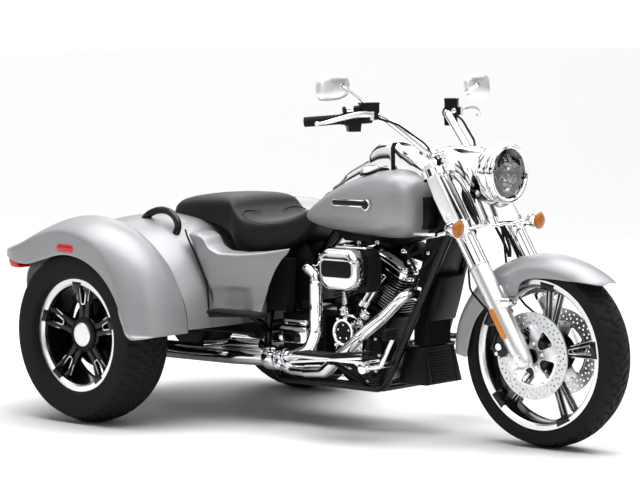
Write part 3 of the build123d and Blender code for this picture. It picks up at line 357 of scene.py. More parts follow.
class Shape:
    """Points in millimetres, and faces, gathered before they become one piece."""

    def __init__(self):
        self.points, self.faces = [], []

    def grid(self, rings, around=True, ends=False, closed=False):
        """Faces between rows of as many points each. closed joins the last row to the first."""
        base, count, rows = len(self.points), len(rings[0]), len(rings)
        for ring in rings:
            self.points.extend(Vector(p) for p in ring)
        for i in range(rows if closed else rows - 1):
            low, high = base + i * count, base + (i + 1) % rows * count
            for j in range(count if around else count - 1):
                k = (j + 1) % count
                self.faces.append((low + j, low + k, high + k, high + j))
        if ends:
            self.faces.append(tuple(base + j for j in range(count)))
            self.faces.append(tuple(base + (rows - 1) * count + j for j in range(count)))
        return self

    def turned(self, profile, centre, axis=(0, 1, 0), count=64, closed=False, flip=1):
        """(place along the axis, radius) corners turned about the axis. flip=-1 reverses the places."""
        along = Vector(axis).normalized()
        up = Vector((1, 0, 0)) if abs(along.z) > 0.9 else Vector((0, 0, 1))
        side = along.cross(up).normalized()
        up = side.cross(along)
        ways = [up * math.cos(a) + side * math.sin(a) for a in round_turn(count)]
        rings = []
        for place, radius in profile:
            middle = Vector(centre) + along * (place * flip)
            rings.append([middle + way * max(radius, AXIS_RADIUS) for way in ways])
        return self.grid(rings, closed=closed)

    def pin(self, low, high, radius, centre, axis=(0, 1, 0), count=64):
        """A plain cylinder between two places along its axis."""
        return self.turned([(low, 0), (low, radius), (high, radius), (high, 0)], centre, axis, count)

    def tube(self, path, radius, bend=30, count=16, ends=True, steps=7, flat=1.0):
        """A round bar along a run. radius is a number, or a list of them spread along the run."""
        run = rounded(path, bend, steps) if len(path) > 2 else [Vector(p) for p in path]
        run = [p for i, p in enumerate(run) if i == 0 or (p - run[i - 1]).length > 1e-3]
        lengths = [0.0]
        for a, b in zip(run, run[1:]):
            lengths.append(lengths[-1] + (b - a).length)
        radii = radius if isinstance(radius, (list, tuple)) else [radius, radius]
        along = (run[1] - run[0]).normalized()
        side = along.orthogonal() if abs(along.z) > 0.99 else along.cross(Vector((0, 0, 1)))
        side.normalize()
        rings = []
        for i, p in enumerate(run):
            ahead = run[min(i + 1, len(run) - 1)] - run[max(i - 1, 0)]
            ahead.normalize()
            side = (side - ahead * side.dot(ahead)).normalized()
            up = side.cross(ahead)
            r = float(np.interp(lengths[i] / lengths[-1], np.linspace(0, 1, len(radii)), radii))
            rings.append([p + (side * math.cos(a) + up * math.sin(a) * flat) * r for a in round_turn(count)])
        return self.grid(rings, ends=ends)

    def box(self, centre, size, x_dir=(1, 0, 0), z_dir=(0, 0, 1), taper=1.0):
        """A box; taper shrinks its far z face."""
        along, up = Vector(x_dir).normalized(), Vector(z_dir).normalized()
        side = up.cross(along).normalized()
        along = side.cross(up)
        half = Vector(size) / 2
        rings = []
        for level, share in ((-1, 1.0), (1, taper)):
            middle = up * half.z * level
            rings.append([Vector(centre) + along * (half.x * i * share) + side * (half.y * j * share) + middle
                          for i, j in ((-1, -1), (1, -1), (1, 1), (-1, 1))])
        return self.grid(rings, ends=True)

    def prism(self, outline, origin, x_dir, y_dir, depth, taper=1.0):
        """An outline in a plane, made solid along the plane's normal."""
        along, up = Vector(x_dir).normalized(), Vector(y_dir).normalized()
        out = along.cross(up).normalized() * depth
        near = [Vector(origin) + along * x + up * y for x, y in outline]
        middle = sum(near, Vector()) / len(near)
        far = [middle + (p - middle) * taper + out for p in near]
        return self.grid([near, far], ends=True)

    def plate(self, outline, y_from, y_to, taper=1.0):
        """A plate with an (x, z) outline across the vehicle."""
        near = [Vector((x, y_from, z)) for x, z in outline]
        middle = sum(near, Vector()) / len(near)
        far = [middle + (p - middle) * taper + Vector((0, y_to - y_from, 0)) for p in near]
        return self.grid([near, far], ends=True)

    def bolt(self, place, axis, radius=5.0, height=5.0):
        """A round bolt head with a hexagon socket."""
        inner = radius * 0.5
        return self.turned([(0, radius), (height * 0.7, radius), (height, radius * 0.8), (height, inner),
                            (height * 0.35, inner), (height * 0.35, 0)], place, axis, count=12)

    def mirrored(self):
        """The same shape with its copy on the other side."""
        base = len(self.points)
        self.points.extend([Vector((p.x, -p.y, p.z)) for p in self.points])
        self.faces.extend([tuple(base + i for i in reversed(face)) for face in list(self.faces)])
        return self


def slot_outline(width, height, radius, steps=5):
    """A rectangle with rounded corners, as (x, y) points round its middle."""
    made = []
    for i, j, start in ((1, 1, 0), (-1, 1, 90), (-1, -1, 180), (1, -1, 270)):
        for k in range(steps + 1):
            a = math.radians(start + 90 * k / steps)
            made.append((i * (width / 2 - radius) + radius * math.cos(a),
                         j * (height / 2 - radius) + radius * math.sin(a)))
    return made


def settle(piece):
    """Puts the modifiers' result into the piece's own mesh."""
    graph = bpy.context.evaluated_depsgraph_get()
    graph.update()
    made = bpy.data.meshes.new_from_object(piece.evaluated_get(graph))
    piece.modifiers.clear()
    old = piece.data
    piece.data = made
    bpy.data.meshes.remove(old)


def loose(shape, name, weld=1e-6):
    """An object made of a shape, welded, with its normals out."""
    mesh = bpy.data.meshes.new(name)
    mesh.from_pydata([tuple(p * MM) for p in shape.points], [], shape.faces)
    net = bmesh.new()
    net.from_mesh(mesh)
    bmesh.ops.remove_doubles(net, verts=net.verts, dist=weld)
    bmesh.ops.dissolve_degenerate(net, edges=net.edges, dist=weld)
    bmesh.ops.recalc_face_normals(net, faces=net.faces)
    net.to_mesh(mesh)
    net.free()
    return linked(name, mesh)


# slot names for pieces of a finish, unless the piece names another
SLOTS = {
    "silver": "body_silver", "chrome": "chrome", "satin_chrome": "chrome", "smoked": "chrome",
    "mirror_glass": "chrome", "black_gloss": "black_aluminium", "black_satin": "black_aluminium",
    "black_plastic": "black_plastic", "carpet": "black_plastic", "rubber": "rubber", "leather": "leather",
    "machined": "bare_aluminium", "disc_steel": "disc_steel", "clear_lens": "clear_lens",
    "amber": "amber_lens", "deep_amber": "amber_lens", "red": "red_lens",
}


def dress(shape, name, finish, stands_for=(), slot=None, body="chassis", bevel=0.0, segments=2, subdivide=0,
          sharp=SHARP, thick=0.0, cut=None):
    """Makes one piece of a shape, on its body and with its finish."""
    slot = slot or SLOTS[finish]
    piece = loose(shape, name)
    if cut:
        cutter = loose(cut, name + "_cut")
        hole = piece.modifiers.new("cut", "BOOLEAN")
        hole.object = cutter
        hole.solver = "EXACT"
        settle(piece)
        bpy.data.objects.remove(cutter)
    if thick:
        skin = piece.modifiers.new("skin", "SOLIDIFY")
        skin.thickness = thick * MM
        skin.offset = -1
    if bevel:
        edge = piece.modifiers.new("edge", "BEVEL")
        edge.width = bevel * MM
        edge.segments = segments
        edge.limit_method = "ANGLE"
        edge.angle_limit = math.radians(SHARP)
        edge.use_clamp_overlap = True
    if subdivide:
        finer = piece.modifiers.new("finer", "SUBSURF")
        finer.levels = finer.render_levels = subdivide
    if piece.modifiers:
        settle(piece)
    piece.data.shade_smooth()
    piece.data.set_sharp_from_angle(angle=math.radians(sharp))
    piece.data.materials.clear()
    piece.data.materials.append(MATERIALS[finish])
    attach(piece, body)
    if stands_for:
        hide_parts(*stands_for)
    return piece


def polar(centre, angle, radius, y):
    """A point at an angle and radius about a centre, seen from the right."""
    turn = math.radians(angle)
    return Vector((centre[0] + radius * math.cos(turn), y, centre[2] + radius * math.sin(turn)))


add_camera()
add_floor()
add_lights()
add_world()
add_finishes()
add_leather()
add_lenses()

# ---------------------------------------------------------------- tyres

FRONT_RADIUS, REAR_RADIUS = 319.3, 323.8
FRONT_HUB = Vector((965.7, 0, FRONT_RADIUS))
REAR_HUB_X, REAR_HUB_Z, REAR_TYRE_Y = -704.3, REAR_RADIUS, 563.5
SIDES = (("right", -1), ("left", 1))
# points round a tyre, width of the strips across its tread
AROUND, STRIP = 720, 2.7
GROOVE_DEPTH = 5.5
RIB_HEIGHT = 0.42

# each line: a run of (along, across) points in one pitch on one side, and its half width
FRONT_TREAD = dict(pitches=28, lines=[([(6, 6), (34, 24), (28, 36), (50, 56)], 3.6),
                                      ([(58, 10), (66, 30)], 3.0)], rings=[])
REAR_TREAD = dict(pitches=48, lines=[([(4, 56), (14, 78), (16, 99)], 5.0), ([(20, 20), (32, 46)], 3.4),
                                     ([(6, 0), (14, 14)], 3.0)], rings=[17, 52])


def run_distance(along, across, run):
    """How far each point lies from a run of straight lines."""
    best = np.full(along.shape, 1e9)
    for (x0, y0), (x1, y1) in zip(run, run[1:]):
        dx, dy = x1 - x0, y1 - y0
        share = np.clip(((along - x0) * dx + (across - y0) * dy) / (dx * dx + dy * dy), 0, 1)
        best = np.minimum(best, np.hypot(along - x0 - dx * share, across - y0 - dy * share))
    return best


def tread_depth(along, across, radius, tread):
    """How deep the tread is cut at each point."""
    pitch = 2 * math.pi * radius / tread["pitches"]
    shifted = np.where(across < 0, along + pitch / 2, along) % pitch
    reach = np.abs(across)
    cut = np.zeros(along.shape)
    for run, half in tread["lines"]:
        for wrap in (-pitch, 0, pitch):
            gap = run_distance(shifted + wrap, reach, run)
            cut = np.maximum(cut, np.clip(1.4 - gap / half * 0.7, 0, 1))
    for ring in tread["rings"]:
        wave = ring + 2.0 * np.sin(along / pitch * 2 * math.pi)
        cut = np.maximum(cut, np.clip(1.4 - np.abs(reach - wave) / 3.0 * 0.7, 0, 1))
    return cut * GROOVE_DEPTH


def add_tyre(name, hub, radius, half, seat_r, lip_r, seat_half, tread, body):
    """A tyre of a radius and half width, on a bead seat inside a rim's lip."""
    belly = (lip_r + radius) / 2
    side = [(seat_half, lip_r), (half * 0.93, lip_r + 9), (half * 0.985, (lip_r + belly) / 2 + 4),
            (half, belly), (half * 0.975, belly + (radius - belly) * 0.45),
            (half * 0.9, radius - half * 0.25)]
    flank = [tuple(p) for p in smooth_run(side, 4)]
    crown = []
    tread_half = half * 0.9
    rows = int(tread_half / STRIP)
    drop = half * 0.25
    for k in range(1, 2 * rows):
        y = tread_half * (1 - k / rows)
        crown.append((y, radius - drop * (abs(y) / tread_half) ** 2.3))
    other_side = [(-y, r) for y, r in reversed(flank)]
    profile = [(seat_half, seat_r)] + flank + crown + other_side + [(-seat_half, seat_r)]
    ribs = [lip_r + 16, lip_r + 19, radius - half * 0.36, radius - half * 0.40]
    turns = np.arange(AROUND) * 2 * math.pi / AROUND
    places = np.array(profile)
    angle, across = np.meshgrid(turns, places[:, 0], indexing="ij")
    reach = np.broadcast_to(places[:, 1], angle.shape).copy()
    on_tread = np.abs(across) < half * 0.955
    outer = reach > radius - half * 0.34
    depth = tread_depth(angle * radius, across, radius, tread)
    reach = np.where(on_tread & outer, reach - depth, reach)
    swell = np.zeros(angle.shape)
    for rib in ribs:
        swell += np.where(~outer & (np.abs(reach - rib) < 3.0), RIB_HEIGHT, 0.0)
    across = np.clip(across + np.sign(across) * swell, -half, half)
    rings = []
    for i, turn in enumerate(turns):
        rings.append([(hub[0] + reach[i, j] * math.cos(turn), hub[1] + across[i, j],
                       hub[2] + reach[i, j] * math.sin(turn)) for j in range(len(profile))])
    shape = Shape().grid(rings, closed=True)
    dress(shape, name + "_rubber", "rubber", (name,), slot="tyre", body=body, sharp=50)


add_tyre("front_tyre", FRONT_HUB, FRONT_RADIUS, 65.0, 241.3, 258.5, 47.7, FRONT_TREAD, "front_wheel")
for side, sign in SIDES:
    hub = Vector((REAR_HUB_X, sign * REAR_TYRE_Y, REAR_HUB_Z))
    add_tyre(f"rear_tyre_{side}", hub, REAR_RADIUS, 102.5, 190.3, 207.5, 69.7, REAR_TREAD,
             f"rear_wheel_{side}")

# ---------------------------------------------------------------- wheels

SPOKES = 5
SPOKE_TURN = 360 / SPOKES
# the angle of each wheel's first spoke, and the distance of the discs from the middle
FRONT_FIRST, REAR_FIRST = 8.0, 17.0
DISC_Y = 82


def wheel_point(hub, angle, radius, aside, y):
    """A point at a radius along a spoke's line, moved aside across it."""
    turn = math.radians(angle)
    return Vector((hub[0] + radius * math.cos(turn) - aside * math.sin(turn), hub[1] + y,
                   hub[2] + radius * math.sin(turn) + aside * math.cos(turn)))


def spoke_arms(hub, first, stations):
    """Pairs of arms. stations: radius, gap from the pair's middle to each edge, inner and outer y."""
    shape = Shape()
    for k in range(SPOKES):
        angle = first + SPOKE_TURN * k
        for side in (-1, 1):
            rings = []
            for radius, near, far, y_in, y_out in stations:
                rings.append([wheel_point(hub, angle, radius, side * a, y)
                              for a, y in ((near, y_in), (far, y_in), (far, y_out), (near, y_out))])
            shape.grid(rings, ends=True)
    return shape


def rim_pads(hub, first, reach_in, reach_out, half, y_in, y_out):
    """The pad at the rim end of each pair."""
    shape = Shape()
    for k in range(SPOKES):
        angle = first + SPOKE_TURN * k
        rings = []
        for radius, share in ((reach_in, 0.82), (reach_out, 1.0)):
            rings.append([wheel_point(hub, angle, radius, a * half * share, y)
                          for a, y in ((-1, y_in), (1, y_in), (1, y_out), (-1, y_out))])
        shape.grid(rings, ends=True)
    return shape


def bright_edges(hub, first, faces, inner_r, outer_r, near_in, near_out, far_in, far_out):
    """Machined lines on each face: a U between the arms and a line down each outer edge."""
    shape = Shape()
    bowl = ((outer_r, near_out), (inner_r, near_in), (inner_r, -near_in), (outer_r, -near_out))
    for y in faces:
        for k in range(SPOKES):
            angle = first + SPOKE_TURN * k
            shape.tube([wheel_point(hub, angle, radius, aside, y) for radius, aside in bowl], 2.6, 6, count=8)
            for side in (-1, 1):
                shape.tube([wheel_point(hub, angle, inner_r + 12, side * far_in, y),
                            wheel_point(hub, angle, outer_r, side * far_out, y)], 1.9, count=8)
    return shape


def dress_rim(name, side, body, core, arms, pads, lip, lines):
    """The pieces of a rim. side ends their names."""
    dress(core, f"{name}_core{side}", "black_gloss", (name + side,), body=body, bevel=1.5)
    dress(arms, f"{name}_arms{side}", "black_gloss", body=body, bevel=3.0, segments=3)
    dress(pads, f"{name}_pads{side}", "black_gloss", body=body, bevel=2.0)
    dress(lip, f"{name}_lip{side}", "machined", body=body)
    dress(lines, f"{name}_lines{side}", "machined", body=body)


def add_front_wheel():
    hub = FRONT_HUB
    core = Shape()
    core.turned([(-53, 256), (-48, 258), (-48, 241), (48, 241), (48, 258), (53, 256), (52, 247), (44, 238),
                 (34, 230), (0, 226), (-34, 230), (-44, 238), (-52, 247)], hub, count=160, closed=True)
    core.turned([(-66, 12.8), (66, 12.8), (66, 34), (40, 40), (24, 47), (-24, 47), (-40, 40), (-66, 34)], hub,
                closed=True)
    for sign in (-1, 1):
        core.turned([(66, 12.8), (79, 12.8), (79, 62), (72, 66), (70, 66),
                     (64, 40)], hub, closed=True, flip=sign)
    arms = spoke_arms(hub, FRONT_FIRST, [(40, 3, 18, -18, 18), (90, 6, 17, -12, 12), (160, 13, 24, -10, 10),
                                         (205, 19, 31, -11, 11), (236, 24, 38, -18, 18)])
    pads = rim_pads(hub, FRONT_FIRST, 226, 252, 32, -54.4, 54.4)
    lip = Shape()
    for sign in (-1, 1):
        lip.turned([(48, 236), (54, 242), (54, 257.5), (53, 258.2), (51.8, 257.5),
                    (45, 236)], hub, count=160, closed=True, flip=sign)
    lines = bright_edges(hub, FRONT_FIRST, (-11.4, 11.4), 100, 216, 7, 19, 18, 32)
    dress_rim("front_rim", "", "front_wheel", core, arms, pads, lip, lines)


def add_front_discs():
    disc, cut, bolts = Shape(), Shape(), Shape()
    for sign in (-1, 1):
        y = sign * DISC_Y
        disc.turned([(y - 2.5, 98), (y + 2.5, 98), (y + 2.5, 150), (y - 2.5, 150)], FRONT_HUB, count=120,
                    closed=True)
        for k in range(48):
            for ring, shift in ((140, 0), (122, 3.75)):
                place = wheel_point(FRONT_HUB, k * 7.5 + shift, ring if k % 2 else ring - 7, 0, y - 6)
                cut.pin(0, 12, 3.8, place, count=10)
    dress(disc, "front_disc_rings", "disc_steel", ("front_discs",), body="front_wheel", bevel=0.4, segments=1,
          cut=cut)
    carrier, windows = Shape(), Shape()
    for sign in (-1, 1):
        y = sign * DISC_Y
        carrier.turned([(y - 3.5, 26), (y + 3.5, 26), (y + 3.5, 106), (y - 3.5, 106)], FRONT_HUB, count=100,
                       closed=True)
        for k in range(SPOKES):
            outline = [(40, -7), (50, -16), (86, -30), (95, -27), (98, 0), (95, 27), (86, 30), (50, 16),
                       (40, 7)]
            middle = FRONT_FIRST + SPOKE_TURN * (k + 0.5)
            ring = [wheel_point(FRONT_HUB, middle, r, a, y - 8) for r, a in outline]
            windows.grid([ring, [p + Vector((0, 16, 0)) for p in ring]], ends=True)
            spoke = FRONT_FIRST + SPOKE_TURN * k
            bolts.pin(-5.5, 5.5, 7, wheel_point(FRONT_HUB, spoke, 102, 0, y), count=14)
            bolts.bolt(wheel_point(FRONT_HUB, spoke, 42, 0, y + sign * 3.0), (0, sign, 0), 6, 5)
    dress(carrier, "front_disc_carriers", "machined", slot="disc_steel", body="front_wheel", bevel=1.0,
          cut=windows)
    dress(bolts, "front_disc_bolts", "chrome", slot="disc_steel", body="front_wheel", bevel=0.6)


def add_rear_wheel(side, sign):
    hub, body = Vector((REAR_HUB_X, sign * REAR_TYRE_Y, REAR_HUB_Z)), f"rear_wheel_{side}"
    core = Shape()
    core.turned([(-75, 205), (-70, 207), (-70, 190), (70, 190), (70, 207), (75, 205), (74, 197), (66, 188),
                 (52, 181), (0, 178), (-52, 181), (-66, 188), (-74, 197)], hub, count=160, closed=True)
    core.turned([(sign * -20, 22.3), (sign * 40, 22.3), (sign * 40, 62), (sign * 30, 70), (sign * -20, 66)],
                hub, closed=True)
    spread = [(58, 2, 26, 12, 42), (95, 3, 26, 16, 40), (130, 12, 31, 22, 42), (165, 17, 35, 26, 52),
              (184, 18, 38, 30, 66)]
    arms = spoke_arms(hub, REAR_FIRST, [(r, n, f, sign * a, sign * b) for r, n, f, a, b in spread])
    pads = rim_pads(hub, REAR_FIRST, 174, 196, 25, sign * 30, sign * 76.8)
    lip = Shape()
    for end in (-1, 1):
        lip.turned([(70, 182), (76, 188), (76, 206.5), (75, 207.2), (73.5, 206.5),
                    (67, 182)], hub, count=160, closed=True, flip=end)
    lines = bright_edges(hub, REAR_FIRST, (sign * 45,), 112, 170, 9, 18, 27, 36)
    dress_rim("rear_rim", f"_{side}", body, core, arms, pads, lip, lines)
    ring = Shape()
    ring.turned([(40, 40), (40, 64), (46, 63), (51, 56), (50, 45), (46, 43)], hub, count=80, closed=True,
                flip=sign)
    dress(ring, f"rear_cap_ring_{side}", "black_satin", body=body)
    drum = Shape()
    drum.turned([(-20, 30), (-12, 60), (-14, 118), (-18, 124), (-60, 126),
                 (-60, 30)], hub, count=96, closed=True, flip=sign)
    dress(drum, f"rear_brake_{side}", "black_satin", body=body, bevel=1)
    cap = Shape()
    cap.turned([(40, 0), (40, 43), (52, 43), (54, 40), (54.3, 38), (53.6, 37),
                (53.6, 0)], hub, count=80, flip=sign)
    dress(cap, f"rear_cap_{side}", "satin_chrome", slot="bare_aluminium", body=body)


add_front_wheel()
add_front_discs()
for side, sign in SIDES:
    add_rear_wheel(side, sign)

# ---------------------------------------------------------------- painted bodywork


def arc_through(a, b, c, count):
    """Points along the circle through three (u, v) points."""
    (ax, ay), (bx, by), (cx, cy) = a, b, c
    d = 2 * (ax * (by - cy) + bx * (cy - ay) + cx * (ay - by))
    ux = ((ax * ax + ay * ay) * (by - cy) + (bx * bx + by * by) * (cy - ay)
          + (cx * cx + cy * cy) * (ay - by)) / d
    uy = ((ax * ax + ay * ay) * (cx - bx) + (bx * bx + by * by) * (ax - cx)
          + (cx * cx + cy * cy) * (bx - ax)) / d
    radius = math.hypot(ax - ux, ay - uy)
    start, middle, stop = (math.atan2(y - uy, x - ux) for x, y in (a, b, c))
    full = 2 * math.pi
    forward = (stop - start) % full
    sweep = forward if (middle - start) % full < forward else forward - full
    turns = [start + sweep * k / count for k in range(count + 1)]
    return [(ux + radius * math.cos(a), uy + radius * math.sin(a)) for a in turns]


# angle about the rear axle, radius of the arch edge, of the crease, of the crown, of the inner seam
REAR_FENDER = [
    (2.5, 350, 356, 388, 385), (3.4, 332, 338, 389, 385), (5.5, 319, 325, 391, 385), (10, 311, 317, 395, 385),
    (20, 303, 309, 402, 385), (40, 300, 331, 420, 385),
    (62, 299, 370, 430, 388), (90, 299, 386, 432, 398), (115, 303, 393, 427, 402), (133, 348, 425, 455, 432),
    (147, 492, 520, 540, 515),
]
# distance from the middle of the fender's flat face, of its inner seam and of its crown
FENDER_FACE = 691.7
FENDER_SEAM = 448.3
FENDER_CROWN = 590.0
# x, how far out the fender's outline reaches there
TAIL_EDGE = [(-1400, 500), (-1180, 500), (-1165, 536), (-1135, 588), (-1095, 630), (-1050, 662), (-1000, 685),
             (-950, 692), (0, 692)]
# angles of the liner's ends and of where it starts to flare, radius, flare for each degree, widths out
LINER_ENDS, LINER_FLARE_AT, LINER_RADIUS, LINER_FLARE = (14, 136), 125, 336, 1.6
LINER_OUT = (452, 500, 560, 610, 640)


def add_rear_fender(side, sign):
    shape = Shape()
    rings = []
    for angle, arch, crease, crown, seam in smooth_run(REAR_FENDER, 7):
        flat = [(arch + (crease - 8 - arch) * k / 5, FENDER_FACE) for k in range(6)]
        dome = arc_through((crease, FENDER_FACE - 1.5), (crown, FENDER_CROWN), (seam, FENDER_SEAM), 22)
        section = [(arch - 1, FENDER_FACE - 9), (arch - 1.5, FENDER_FACE - 4)] + flat + dome
        ring = []
        for radius, y in section:
            point = polar((REAR_HUB_X, 0, REAR_HUB_Z), angle, radius, 0)
            share = (look_up(TAIL_EDGE, point.x) - FENDER_SEAM) / (FENDER_FACE - FENDER_SEAM)
            point.y = sign * (FENDER_SEAM + (y - FENDER_SEAM) * share)
            ring.append(point)
        rings.append(ring)
    shape.grid(rings, around=False)
    dress(shape, f"fender_{side}", "silver", (f"rear_fender_{side}",), thick=4.5, subdivide=1, sharp=60)
    arcs = []
    for angle in np.linspace(*LINER_ENDS, 40):
        radius = LINER_RADIUS + max(angle - LINER_FLARE_AT, 0) * LINER_FLARE
        arcs.append([polar((REAR_HUB_X, 0, REAR_HUB_Z), angle, radius, sign * y) for y in LINER_OUT])
    liner = Shape().grid(arcs, around=False)
    dress(liner, f"arch_liner_{side}", "black_plastic", thick=3.0, sharp=60)


def add_tail_lamps():
    shape = Shape()
    for sign in (-1, 1):
        outline = slot_outline(88, 30, 13, 6)
        shape.prism(outline, (-702, sign * 691.9, 645.5), (1, 0, 0), (0, 0, 1) if sign < 0 else (0, 0, -1),
                    3.0, taper=0.94)
        shape.grid([[(-1098 + x * s, sign * (540 + y * s), z) for x, y in slot_outline(58, 132, 26, 5)]
                    for z, s in ((605, 1.0), (572, 1.0), (558, 0.95), (550, 0.86), (546, 0.7))], ends=True)
    dress(shape, "tail_lamp_lenses", "red", ("tail_lamps",), bevel=0.8)


FRONT_CENTRE = (981.5, 0, 224.9)
# angle about the fender's centre, radius of the edge, of the crown, half width
FRONT_FENDER = [
    (54, 424, 437, 34), (57, 415, 438, 58), (63, 398, 438, 74), (72, 376, 438, 80), (84, 362, 438, 82),
    (94, 357, 438, 82), (99, 351, 438, 82), (102.5, 336, 438, 82), (105.5, 306, 438, 82), (112, 313, 438, 82),
    (122, 323, 438, 82), (131, 331, 436, 82), (142, 331, 431, 82), (153, 322, 424, 82), (162, 315, 412, 82),
    (168, 317, 404, 80),
]


def add_front_fender():
    shape, rings = Shape(), []
    for angle, edge, crown, half in smooth_run(FRONT_FENDER, 5):
        flank = max(crown - 46, edge + 3)
        section = [(edge, -half)] + [(edge + (flank - edge) * k / 4, -half) for k in range(1, 4)]
        section += arc_through((flank, -half), (crown, 0), (flank, half), 20)
        section += [(flank + (edge - flank) * k / 4, half) for k in range(1, 5)]
        rings.append([polar(FRONT_CENTRE, angle, radius, y) for radius, y in section])
    shape.grid(rings, around=False)
    dress(shape, "front_fender_skin", "silver", ("front_fender",), slot="paint_silver", body="steering",
          thick=2.5, subdivide=1, sharp=60)
    stays = Shape()
    for sign in (-1, 1):
        stays.box((850, sign * 94.5, 520), (64, 23, 32), x_dir=(-0.526, 0, 0.85), z_dir=(0.85, 0, 0.526))
    dress(stays, "front_fender_stays", "chrome", body="steering", bevel=4)


# x, half width, low and high of each section of the tank
TANK = [
    (-37, 116, 748, 766), (-30, 126, 736, 782), (-10, 137, 722, 802), (40, 150, 710, 838),
    (110, 161, 701, 878), (200, 172, 693, 912), (290, 178, 688, 934), (370, 178, 688, 940),
    (425, 171, 694, 930), (462, 153, 706, 906), (480, 122, 728, 872), (484, 96, 748, 846),
]
# how square the sections are, and how many points each has
TANK_POWER, TANK_COUNT = 3.0, 64


def tank_ring(x, half, low, high):
    """A section of the tank: a superellipse drawn in towards its top."""
    middle, tall = (low + high) / 2, (high - low) / 2
    ring = []
    for c, s, size in squared_circle(TANK_COUNT, TANK_POWER):
        lift = 1.0 - (0.10 * max(s, 0) * (1 - abs(c)) if s > 0 else 0)
        ring.append((x, half * c * size * (1 - 0.05 * max(s, 0)), middle + tall * s * size * lift))
    return ring


def add_tank():
    shape = Shape().grid([tank_ring(*section) for section in smooth_run(TANK, 5)], ends=True)
    cut = Shape().box((220, 0, 708), (640, 76, 120))
    dress(shape, "tank_skin", "silver", ("fuel_tank",), slot="paint_silver", cut=cut, sharp=45)
    cap, base = Shape(), Shape()
    for sign in (-1, 1):
        place, way = (240, sign * 78, 924), (-0.16, sign * 0.22, 0.96)
        base.turned([(-6, 0), (-6, 42), (0, 42), (2, 40), (2, 0)], place, way)
        cap.turned([(2, 0), (2, 37), (10, 37), (14, 33), (17, 20), (18, 0)], place, way)
    dress(base, "tank_cap_seats", "black_satin", slot="black_plastic")
    dress(cap, "tank_caps", "chrome", bevel=1)
    plain, edge = Shape(), Shape()
    for target, wide, tall, disc_radius, out in ((edge, 184, 27, 20.5, 1.6), (plain, 174, 18, 16, 3.2)):
        disc = [(84 + disc_radius * math.cos(0.3 * k), -4 + disc_radius * math.sin(0.3 * k))
                for k in range(21)]
        for outline, depth in ((disc, 7.3 + out), (slot_outline(wide, tall, tall / 2 - 0.1, 6), 7.0 + out)):
            target.prism(outline, (226, -171.5, 815), (1, -0.10, 0.01), (0, 0.06, 1), depth)
        target.mirrored()
    dress(edge, "tank_badge_rims", "chrome", bevel=0.8)
    dress(plain, "tank_badge_faces", "black_gloss", bevel=0.8)


# x and height of the console's spine, x and half width, x and height of its foot
CONSOLE_TOP = [(-2, 852), (30, 872), (85, 911), (150, 942), (204, 967), (213, 990), (249, 1018), (282, 1029),
               (314, 1030), (320, 1026)]
CONSOLE_HALF = [(-2, 22), (85, 36), (204, 46), (215, 58), (320, 62)]
CONSOLE_FOOT = [(-10, 790), (60, 830), (200, 880), (320, 890)]
# x, height, half width and foot of each section of the part in front
CONSOLE_FRONT = [(338, 1031, 60, 900), (372, 1012, 62, 900), (420, 982, 60, 900), (458, 955, 50, 890),
                 (470, 938, 40, 880)]


def add_console():
    shape, rings = Shape(), []
    for x, z in smooth_run(CONSOLE_TOP, 4):
        half, low = look_up(CONSOLE_HALF, x), look_up(CONSOLE_FOOT, x)
        rings.append([(x, -half, low), (x, -half, z - 26), (x, -half * 0.93, z - 10),
                      (x, -half * 0.74, z - 2), (x, 0, z), (x, half * 0.74, z - 2), (x, half * 0.93, z - 10),
                      (x, half, z - 26), (x, half, low)])
    shape.grid(rings, ends=True)
    dress(shape, "console_shell", "chrome", ("tank_console",), bevel=1.5, sharp=50)
    # a black plate in the gap between the console and the part in front: painted shade standing in for the dark
    # gap
    band = Shape().plate([(318, 1026), (342, 1024), (366, 930), (340, 900), (322, 920)], -52, 52)
    dress(band, "console_gap_shade", "black_plastic")
    front = Shape()
    front.grid([[(x, -h, low), (x, -h, z - 22), (x, -h * 0.8, z - 5), (x, 0, z), (x, h * 0.8, z - 5),
                 (x, h, z - 22), (x, h, low)] for x, z, h, low in CONSOLE_FRONT], ends=True)
    dress(front, "console_front", "chrome", bevel=2, sharp=40)
    ring, face = Shape(), Shape()
    place, tilt = (243, 0, 1004), (-0.62, 0, 0.78)
    ring.turned([(-14, 41), (4, 41), (7, 39), (7, 36), (3, 34), (-14, 34)], place, tilt, count=64,
                closed=True)
    face.pin(-4, 2, 34, place, tilt, count=64)
    dress(ring, "speedometer_bezel", "chrome", bevel=0.6)
    dress(face, "speedometer_face", "black_satin", slot="black_plastic")


for side, sign in SIDES:
    add_rear_fender(side, sign)
add_tail_lamps()
add_front_fender()
add_tank()
add_console()

# ---------------------------------------------------------------- rear body and seat

# x and z in the middle and at the side of each line across the trunk, from its front foot over the top
TRUNK = [
    (-341, 345, -322, 352), (-341, 421, -327, 404), (-352, 514, -347, 464), (-394, 593, -403, 562),
    (-440, 662, -462, 622), (-505, 718, -530, 668), (-600, 738, -616, 700), (-735, 742, -716, 718),
    (-900, 727, -874, 688), (-1050, 688, -999, 640), (-1152, 646, -1092, 596), (-1236, 586, -1168, 545),
    (-1262, 520, -1196, 490), (-1250, 404, -1186, 404), (-1216, 366, -1160, 372),
]
TRUNK_SIDE = 446.0
# the rows of the table between which the lid lies, its half width, the slit round it
LID_ROWS = (7, 10)
LID_SIDE = 260.0
LID_SLIT = 3.0
# x and height of the seal's line, and the hinge's line
SEAL_TOP = [(-1168, 634), (-1050, 682), (-900, 721), (-735, 736)]
HINGE_X, HINGE_Z = -736.5, 768


def trunk_at(row, y):
    """A point on a line across the trunk, which falls away towards the sides."""
    x, z, side_x, side_z = row
    share = min(abs(y) / TRUNK_SIDE, 1.0) ** 2.6
    return (x + (side_x - x) * share, y, z + (side_z - z) * share)


